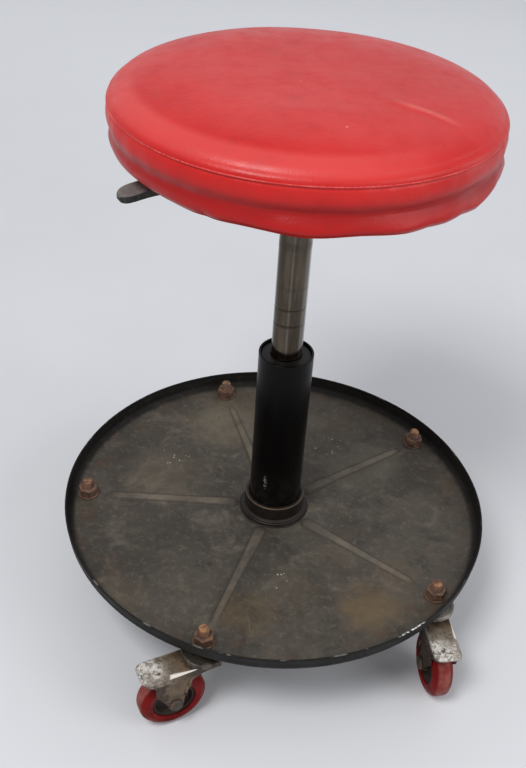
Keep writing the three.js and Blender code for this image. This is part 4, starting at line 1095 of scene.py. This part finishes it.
def fork_form():
    """The fork: one sheet draped over the wheel. Along the grid it runs down one side, round the hood's
    square end with its two round corners, and back up the other side; across it runs from the crown's
    middle line over a bend of 3 mm and down to the lower edge. Below the bend the end leans in by 0.7 of
    the drop. The piece's UV is the place along and across the fork, in tenths of a metre."""
    low = side_edge()
    count = len(low)
    top_x = np.linspace(-12, HOOD_END - HOOD_CORNER, count)
    turn = np.linspace(-math.pi / 2, 0, 9)[1:]
    ends = 2 * len(turn) + 5
    swing = np.concatenate([np.full(count, -math.pi / 2), turn, np.zeros(5), -turn[::-1],
                            np.full(count, math.pi / 2)])
    flank = np.ones(count + len(turn))
    flank = np.concatenate([-flank, np.linspace(-0.7, 0.7, 5), flank])
    rounding = np.pad(np.ones(ends), count)
    side_x = np.concatenate([top_x, np.zeros(ends), top_x[::-1]])
    foot_x = np.concatenate([low[:, 0], np.zeros(ends), low[::-1, 0]])
    foot_z = np.concatenate([low[:, 1], np.full(ends, LIP_Z), low[::-1, 1]])
    bend = np.radians(np.linspace(90, 0, 8))
    inset = np.concatenate([[13, 10.5, 8, 6], HOOD_BEND - HOOD_BEND * np.cos(bend), np.zeros(10)])[:, None]
    shoulder = CROWN_Z - HOOD_BEND
    height = np.concatenate([[CROWN_Z] * 4, shoulder + HOOD_BEND * np.sin(bend), [shoulder] * 10])[:, None]
    drop = np.concatenate([np.zeros(4 + len(bend)), np.linspace(0, 1, 11)[1:]])[:, None]
    z = height + (foot_z - shoulder) * drop
    corner = np.maximum(HOOD_CORNER - inset, 0)
    lean = END_LEAN * np.maximum(shoulder - z, 0)
    round_x = HOOD_END - inset - lean - corner + corner * np.cos(swing)
    straight_x = np.minimum(side_x + (foot_x - side_x) * drop, HOOD_END - inset - corner)
    x = np.where(rounding > 0, round_x, straight_x)
    y = flank * (13 - inset - corner) + corner * np.sin(swing)
    y = np.where(rounding > 0, y, flank * (13 - inset))
    z = z - 0.5 * smooth((x - 20) / 36) * (1 - drop)
    dent = 0.35 * np.sin(0.21 * x + 0.9) * np.sin(0.3 * z) * drop * (rounding == 0)
    grid = np.stack([x, y - flank * np.abs(dent) * (rounding == 0), z], -1)
    return shell(grid), np.stack([x * 0.01, y * 0.01], -1).reshape(-1, 2)


def track_form():
    """The dished ball track on the crown and the rivet head below it."""
    dish = rounded(
        [(5.3, 69.4), (15.6, 69.4), (17.3, 70.6), (17.3, 73.0), (16.3, 73.0), (15.6, 71.9), (5.3, 71.9)],
        [0.3, 2, 1, 0.5, 0.4, 1, 0.3], 5,
    )
    head = rounded([(0, 66.1), (8.0, 66.1), (8.0, 69.3), (0, 69.3)], [0, 1.8, 0.5, 0], 5)
    return joined(turned(dish, 72), turned(head, 48, False))


def wheel_section(half, flat, radius, inner):
    """A tyre's section with rounded shoulders and a slight crown on the tread."""
    return rounded(
        [(inner, -half + 1), (inner + 2.5, -half + 0.5), (radius - 5.5, -half), (radius, -flat),
         (radius + 0.05, 0), (radius, flat), (radius - 5.5, half), (inner + 2.5, half - 0.5),
         (inner, half - 1)],
        [0.4, 1.5, 3.4, 3.0, 2, 3.0, 3.4, 1.5, 0.4], 6,
    )


core_section = rounded(
    [(4.4, -10.4), (8, -10.4), (8.6, -4.5), (15.5, -4.0), (17.0, -8), (19.5, -8), (19.5, 8), (17.0, 8),
     (15.5, 4.0), (8.6, 4.5), (8, 10.4), (4.4, 10.4)],
    [0.4, 1, 2, 1.5, 0.6, 0.4, 0.4, 0.6, 1.5, 2, 1, 0.4], 5,
)
TYRE_FORM = turned(wheel_section(10, 5.6, WHEEL_R, 19.8), 112)
TYRE_UV = TYRE_FORM[0][:, [2, 2]] * 0.01
CORE_FORM = turned(core_section, 72)
(FORK_FORM, FORK_UV), TRACK_FORM, STEM_FORM = fork_form(), track_form(), stem_form()
NUT_FORM = nut_form(16.5, 89.2, 97.2, 4.7)
WASHER_FORM = turned(rounded([(5.1, 87.3), (10, 87.3), (10, 88.9), (5.1, 88.9)], 0.5, 4), 56)


def axle_form():
    """The axle and its two riveted heads, along Z."""
    half = [(4.0, 13.3), (6.5, 13.3), (6.2, 14.6), (4.9, 15.8), (2.4, 16.1), (0, 16.1)]
    whole = [(r, -z) for r, z in reversed(half)] + half
    return turned(rounded(whole, [0, 0.6, 0.8, 0.8, 0.4, 0.2, 0.2, 0.4, 0.8, 0.8, 0.6, 0], 4), 48, False)


AXLE_FORM = axle_form()

for number in CASTERS:
    stem_at = np.array(joints[f"caster_swivel_{number}"]["pos_m"]) / MM
    wheel_at = np.array(joints[f"wheel_roll_{number}"]["pos_m"]) / MM
    trail = math.atan2(wheel_at[1] - stem_at[1], wheel_at[0] - stem_at[0])
    stem_at[2] = 0
    turn = stud_angle(number) + 0.35 * number
    swivel, wheel = f"swivel_{number}", f"wheel_{number}"
    # name, form, place, turn, finish, body, slot and the CAD node that the piece stands for
    for label, form, at, angle, skin, body, slot, stands_for in (
        ("stem", STEM_FORM, stem_at, turn, STEM_METAL, "base", "zinc", "caster_stem"),
        ("nut", NUT_FORM, stem_at, 1.7 * turn, RUST, "base", "rusty_steel", "caster_nut"),
        ("washer", WASHER_FORM, stem_at, 0.0, RUST, "base", "rusty_steel", "caster_washer"),
        ("fork", FORK_FORM, stem_at, trail, FORK_ZINC, swivel, "zinc", "caster_fork"),
        ("ball_track", TRACK_FORM, stem_at, trail, ZINC, swivel, "zinc", None),
        ("axle", AXLE_FORM, wheel_at, trail, AXLE_STEEL, swivel, "zinc", "caster_axle"),
        ("core", CORE_FORM, wheel_at, trail, CORE, wheel, "dark_plastic", "wheel_core"),
        ("tyre", TYRE_FORM, wheel_at, trail, TYRE, wheel, "red_tyre", "wheel_tyre"),
    ):
        piece(
            f"{label}_{number}", placed(form, at, angle, label in ("axle", "core", "tyre")), skin, body,
            [f"{stands_for}_{number}"] if stands_for else (),
            uv={"fork": FORK_UV, "tyre": TYRE_UV}.get(label), wall=2.0 if label == "fork" else 0.0,
        )


# ------------------------ seat

# How far out the cover's lower edge stands, by angle in degrees: its corners are where it is stapled hard
LOWER_EDGE = np.array([
    (-180, 147.5), (-165, 147), (-149.4, 146.2), (-131.8, 146.2), (-115.5, 148), (-102, 149.4),
    (-87.4, 153.6), (-73.9, 151.8), (-61.3, 153.8), (-54, 152.2), (-48.3, 153), (-41, 151.6),
    (-35.3, 153.2), (-20, 149.5), (-6, 152), (12, 149), (30, 151.5), (52, 148.5), (70, 151), (88, 148.6),
    (110, 150.6), (132, 147.6), (152, 149.4), (170, 147.4),
])
EDGE_MEAN = 149.0  # where the outline's own lower edge stands
PULLS = np.radians(LOWER_EDGE[[4, 6, 8, 10, 12, 14, 16, 18, 20, 22], 0])


def nearest_pull(angle):
    """The distance in radians to the nearest place where the cover is stapled hard."""
    away = np.mod(angle[..., None] - PULLS + math.pi, TAU) - math.pi
    return np.abs(away).min(-1)


def cover_outline():
    """Radius, height and a running parameter down the cover: 0 to 1 from the crown's middle to the seam, 1
    to 2 down the side, 2 to 3 under the board to the hem. The crown is the seam's height plus the crown's
    height times the root of one less the fifth power of the share of the seam's radius."""
    share = 1 - np.linspace(1, 0, 64) ** 1.8
    top = np.stack([SEAM_R * share, SEAM_Z + (SEAT_TOP - SEAM_Z) * np.sqrt(1 - share**5), share], -1)
    s = np.linspace(0, 1, 52)[1:]
    z = SEAM_Z - s * (SEAM_Z - SEAT_LOW)
    r = SEAM_R + 1.7 * np.sin(math.pi * np.clip(s / 0.54, 0, 1)) ** 0.8 - 1.15 * bell(s, 0.54, 0.14)
    r = r + 0.9 * np.sin(math.pi * np.clip((s - 0.6) / 0.42, 0, 1)) ** 0.9
    r = r - 2.6 * smooth((s - 0.84) / 0.16) ** 2
    side = np.stack([r, z, 1 + s], -1)
    u = np.linspace(0, 1, 14)[1:]
    hem = np.stack([r[-1] - (r[-1] - HEM_R) * u, np.full(len(u), SEAT_LOW), 2 + u], -1)
    return np.vstack([top, side, hem])


# The cushion's cloth simulation: steps, pressure, stiffness, and the most that a point moves, in millimetres
CLOTH_STEPS, CLOTH_PRESSURE, CLOTH_STIFFNESS, CLOTH_REACH = 20, 4.0, 25.0, 5.0


def swollen_cover():
    """How far the stuffed cover swells, from a cloth simulation: the cover's own shape, a little smaller,
    as an even net of points held at the seam and under the board, blown up softly and capped. Returned as
    radial and upward moves in bins of place down the cover and angle, smoothed round the angle."""
    outline = cover_outline()
    start = turned(np.vstack([outline[::2, :2] * [0.992, 1], [[0, SEAT_LOW]]]), 120, False)
    mesh = bpy.data.meshes.new("pad")
    mesh.from_pydata((start[0] * MM).tolist(), [], start[1].tolist())
    pad = shown("pad", mesh)
    net = pad.modifiers.new("Net", "REMESH")
    net.mode, net.voxel_size = "VOXEL", 0.0055
    even = bpy.data.meshes.new_from_object(pad.evaluated_get(bpy.context.evaluated_depsgraph_get()))
    pad.modifiers.remove(net)
    pad.data = even
    rest = np.empty(len(even.vertices) * 3)
    even.vertices.foreach_get("co", rest)
    rest = rest.reshape(-1, 3)
    r, z = np.hypot(rest[:, 0], rest[:, 1]) / MM, rest[:, 2] / MM
    held = (np.hypot(r - SEAM_R, z - SEAM_Z) < 5.5) | (z < SEAT_LOW + 4)
    grip = pad.vertex_groups.new(name="held")
    grip.add(np.flatnonzero(held).tolist(), 1.0, "REPLACE")
    cloth = pad.modifiers.new("Cloth", "CLOTH")
    cloth.settings.use_pressure = True
    cloth.settings.uniform_pressure_force = CLOTH_PRESSURE
    cloth.settings.tension_stiffness = cloth.settings.compression_stiffness = CLOTH_STIFFNESS
    cloth.settings.effector_weights.gravity = 0.0
    cloth.settings.vertex_group_mass = "held"
    cloth.point_cache.frame_start, cloth.point_cache.frame_end = 1, CLOTH_STEPS
    for moment in range(1, CLOTH_STEPS + 1):
        bpy.context.scene.frame_set(moment)
    blown = pad.evaluated_get(bpy.context.evaluated_depsgraph_get()).to_mesh()
    now = np.empty(len(blown.vertices) * 3)
    blown.vertices.foreach_get("co", now)
    move = (now.reshape(-1, 3) - rest) / MM
    bpy.context.scene.frame_set(1)
    bpy.data.objects.remove(pad)
    span = np.linalg.norm(move, axis=1, keepdims=True)
    move = move * np.minimum(1, CLOTH_REACH / np.maximum(span, 1e-9))
    angle = np.arctan2(rest[:, 1], rest[:, 0])
    out = move[:, 0] * np.cos(angle) + move[:, 1] * np.sin(angle)
    gap = np.hypot(r[:, None] - outline[None, :, 0], z[:, None] - outline[None, :, 1])
    place = outline[gap.argmin(1), 2]
    bins = (np.linspace(0, 3, 46), np.linspace(-math.pi, math.pi, 73))
    count = np.histogram2d(place, angle, bins)[0]
    means = [np.histogram2d(place, angle, bins, weights=w)[0] for w in (out, move[:, 2])]
    means = [m / np.maximum(count, 1) for m in means]
    whole = np.maximum(count.sum(1, keepdims=True), 1)
    rows = [(m * count).sum(1, keepdims=True) / whole for m in means]
    fields = [np.where(count > 0, m, row) for m, row in zip(means, rows)]
    for _ in range(3):
        fields = [(np.roll(m, 1, 1) + 2 * m + np.roll(m, -1, 1)) / 4 for m in fields]
    return fields, bins


def sampled(field, bins, place, angle):
    """A binned field read smoothly at each place and angle, round the circle without a step."""
    row = np.clip((place - bins[0][0]) / (bins[0][1] - bins[0][0]) - 0.5, 0, field.shape[0] - 1.001)
    col = np.mod((angle - bins[1][0]) / (bins[1][1] - bins[1][0]) - 0.5, field.shape[1])
    i, j = np.floor(row).astype(int), np.floor(col).astype(int) % field.shape[1]
    a, b = row - i, col - np.floor(col)
    k, m = np.minimum(i + 1, field.shape[0] - 1), (j + 1) % field.shape[1]
    return (field[i, j] * (1 - a) + field[k, j] * a) * (1 - b) + (field[i, m] * (1 - a) + field[k, m] * a) * b


def cover_form():
    """The vinyl cover: its outline carried round, plus the simulated swell, the sewn ridge at the seam,
    folds that run down from the seam, pulls towards the staples and pleats on the hem. Inside, the same
    shell runs back along the board, so that it is closed."""
    outline = cover_outline()
    angle = circle(480)[None]
    r, z, place = (outline[:, k : k + 1] for k in range(3))
    r, z, place = (v + 0 * angle for v in (r, z, place))
    (out, up), bins = swollen_cover()
    wrapped = np.mod(angle + math.pi, TAU) - math.pi + 0 * r
    fade = smooth(place / 0.2)
    r = r + 0.55 * sampled(out, bins, place, wrapped) * fade * (place < 2.3)
    z = z + sampled(up, bins, place, wrapped) * np.where(place < 1, 0.2, 0.4) * (place < 1.9)
    pull = nearest_pull(angle + 0 * place)
    side = smooth((place - 1) / 0.05) * smooth((2.05 - place) / 0.1)
    low = smooth((place - 1.55) / 0.45) * smooth((2.6 - place) / 0.3)
    edge = np.interp(np.degrees(angle), LOWER_EDGE[:, 0], LOWER_EDGE[:, 1], period=360)
    r = r + low * (edge - EDGE_MEAN)
    z = z + smooth((place - 1.62) / 0.38) * smooth((2.2 - place) / 0.15) * 0.8 * smooth((pull - 0.03) / 0.17)
    wobble = np.sin(37 * angle + 2.1 * np.sin(5 * angle))
    wobble = wobble + 0.8 * np.sin(61 * angle + 3 * np.sin(7 * angle + 1))
    near_front = 0.35 + 0.65 * bell(np.mod(angle, TAU), math.radians(276), 0.55)
    r = r + side * 0.28 * wobble * bell(place, 1.16, 0.16) * near_front
    folds = np.sin(23 * angle + 4 * np.sin(3 * angle) + 2.5 * place) * np.sin(9 * angle + 1.3)
    r = r + side * 0.42 * folds * bell(place, 1.4, 0.3)
    r = r + side * 0.35 * np.sin(16 * angle + 5 * place + 2 * np.sin(4 * angle)) * bell(place, 1.82, 0.2)
    for at, width, size in ((1.0, 0.011, 0.75), (0.982, 0.006, -0.5), (1.045, 0.02, -0.45)):
        r = r + 1.1 * size * bell(place, at, width)
    z = z + bell(place, 0.975, 0.012) * -0.35
    crease = smooth((place - 0.1) / 0.4) * smooth((0.985 - place) / 0.2)
    z = z + crease * (0.28 * np.sin(3 * angle + 0.7) + 0.2 * np.sin(5 * angle + 2.2 + 2 * place))
    out_x, out_y = r * np.cos(angle) - CREASE_AT[0], r * np.sin(angle) - CREASE_AT[1]
    cos, sin = math.cos(CREASE_TURN), math.sin(CREASE_TURN)
    run, aside = out_x * cos + out_y * sin, out_y * cos - out_x * sin
    fold = smooth((run + 4) / 18) * smooth((62 - run) / 22) * (place < 1)
    z = z + fold * (0.5 * bell(aside, 0.0, 4.6) - 0.25 * bell(aside, -9.0, 5.0))
    notch = bell(np.degrees(angle), 245.0, 2.2) * bell(place, 1.93, 0.1)
    r = r - 1.6 * notch
    pleats = smooth((place - 2.1) / 0.3) * smooth((3.02 - place) / 0.2)
    z = z - 0.5 * pleats * (0.6 + 0.5 * np.sin(74 * angle + 1.2 * np.sin(11 * angle)))
    inside = np.array([(HEM_R + 0.2, 471.6), (BOARD_R + 0.25, 471.7), (BOARD_R + 0.3, 484.3), (0, 484.3)])
    back = ringed(inside[:, :1], angle, inside[:, 1:])
    return shell(np.concatenate([ringed(r, angle, z), back]), False, True)


def seam_form():
    """The sewn edge: a thin round roll carried round the seam, swelling a little with the stitches."""
    angle = circle(720)[None]
    around = circle(10)[:, None]
    size = 0.6 + 0.06 * np.sin(STITCHES * angle) + 0.08 * np.sin(9 * angle + 1)
    r = SEAM_R + 0.55 + 0.15 * np.sin(6 * angle) + size * np.cos(around)
    z = SEAM_Z + 0.2 * np.sin(4 * angle + 2) + size * np.sin(around)
    uv = np.stack([angle / TAU + 0 * around, around / TAU + 0 * angle], -1).reshape(-1, 2)
    return shell(ringed(r, angle, z), True, True), uv


cover = piece("seat_cover", cover_form(), VINYL, "seat", ["seat_cushion"], even=False)
cord, cord_uv = seam_form()
piece("seat_seam", cord, SEAM, "seat", uv=cord_uv, even=False)


def staples_form():
    """Wire staples round the hem: each a low arch of a thin round wire, set aslant."""
    t = np.linspace(0, 1, 13)[:, None]
    around = circle(6)[None]
    arch = np.sin(math.pi * t) ** 0.3
    forms = []
    for k in range(30):
        x = (t - 0.5) * 10 + 0 * around
        y = 0.35 * np.cos(around) + 0 * t
        z = -0.75 * arch + 0.3 * np.sin(around)
        turn = k * TAU / 30 + 0.05 * math.sin(7 * k)
        at = (STAPLE_R * math.cos(turn), STAPLE_R * math.sin(turn), SEAT_LOW - 0.3)
        wire = shell(np.stack([x, y, z], -1), False, True)
        forms.append(placed(wire, at, turn + math.pi / 2 + 0.3 * math.sin(3 * k)))
    return joined(*forms)


piece("hem_staples", staples_form(), STEEL, "seat", even=False)


# ------------------------ pieces kept from the CAD model

KEPT = {
    "thrust_bearing": ZINC, "bumper": RUBBER, "retaining_clip": STEEL, "piston_rod": STEEL,
    "release_pin": ZINC, "lever_pivot": ZINC, **{f"caster_balls_{k}": STEEL for k in CASTERS},
}
for label, skin in KEPT.items():
    kept = frame["nodes"][label]
    kept.data.materials.clear()
    kept.data.materials.append(skin)


# ------------------------ stage, light and camera


def make_stage_finish(name, color, rough):
    """The floor's plain paper, a little cloudy, and paler with the distance: painted light that evens out the
    lamps.
    """
    made, spot = finish(name)
    tone = cloudy(spot, 3.0, 3)
    paper = mixed(spread(tone, 0.3, 0.7), color, (v - 4 for v in color))
    away = vectors("LENGTH", spot, output="Value")
    # Painted light: the paper grows paler towards the back and far away, where the lamps light it less.
    back = spread(parts(spot)[1], 0.2, 2.0)
    far = maths("MAXIMUM", back * 0.8, spread(away, 0.8, 3.0))
    paper = mixed(far, paper, (v + 36 for v in color))
    return wired(made, paper, rough, Specular_IOR_Level=0.2)


def stage_plane(name, grid, skin):
    """A mesh of the stage from a grid in metres."""
    points, faces = shell(np.asarray(grid, float))
    mesh = bpy.data.meshes.new(name)
    mesh.from_pydata(points.tolist(), [], faces.tolist())
    mesh.materials.append(skin)
    mesh.polygons.foreach_set("use_smooth", np.ones(len(mesh.polygons), bool))
    made = shown(name, mesh)


reach = np.linspace(-6, 6, 25)
stage_plane(
    "floor", np.stack(np.broadcast_arrays(reach[None, :], reach[:, None], -0.0002), -1),
    make_stage_finish("Pale floor", (211, 212, 215), 0.75),
)

world = bpy.data.worlds.new("Studio")
bpy.context.scene.world = world
world.use_nodes = True
sky = world.node_tree
sky.nodes.clear()
rays = node("ShaderNodeLightPath", {}, tree=sky)
seen = maths("MAXIMUM", rays["Is Glossy Ray"], rays["Is Transmission Ray"])
seen = maths("MAXIMUM", rays["Is Camera Ray"], seen)
glow = mixed(seen, (198, 200, 204), (208, 210, 214))
lit = node("ShaderNodeBackground", {"Color": glow, "Strength": spread(seen, 0, 1, 0.9, 1.0)})
put(sky.nodes.new("ShaderNodeOutputWorld").inputs[0], lit)


def soft_light(name, at, towards, size, watts):
    """A rectangular lamp at a place, turned towards another."""
    lamp = bpy.data.lights.new(name, "AREA")
    lamp.shape, lamp.size, lamp.size_y, lamp.energy = "RECTANGLE", *size, watts
    made = shown(name, lamp)
    made.location = at
    made.rotation_euler = (Vector(towards) - Vector(at)).to_track_quat("-Z", "Y").to_euler()


soft_light("key", (-0.7, -1.1, 2.2), (0, 0, 0.35), (0.75, 0.75), 36)
soft_light("fill", (1.7, -0.9, 1.3), (0, 0, 0.3), (1.2, 1.2), 12)
soft_light("back", (0.3, 1.6, 1.9), (0, 0, 0.4), (1.6, 0.8), 2)
soft_light("edge", (1.7, 0.35, 0.75), (0, 0, 0.3), (0.3, 1.3), 3)

# The camera as fitted to the photo: its place in metres, its angles in radians and its lens
CAMERA_AT, CAMERA_LENS = (0, -0.74674, 0.78575), 47.256
yaw, pitch, roll = -0.0255, 0.6344, 0.0700
ahead = Vector((math.sin(yaw) * math.cos(pitch), math.cos(yaw) * math.cos(pitch), -math.sin(pitch)))
right = Vector((math.cos(yaw), -math.sin(yaw), 0))
up = right.cross(ahead)
right, up = math.cos(roll) * right + math.sin(roll) * up, -math.sin(roll) * right + math.cos(roll) * up
camera = shown("camera", bpy.data.cameras.new("camera"))
camera.data.sensor_width, camera.data.lens = 36.0, CAMERA_LENS
camera.data.clip_start, camera.data.clip_end = 0.01, 50
turned_to = Matrix((right, up, -ahead)).transposed().to_4x4()
camera.matrix_world = Matrix.Translation(CAMERA_AT) @ turned_to
bpy.context.scene.camera = camera
bpy.context.scene.view_settings.view_transform = "Standard"
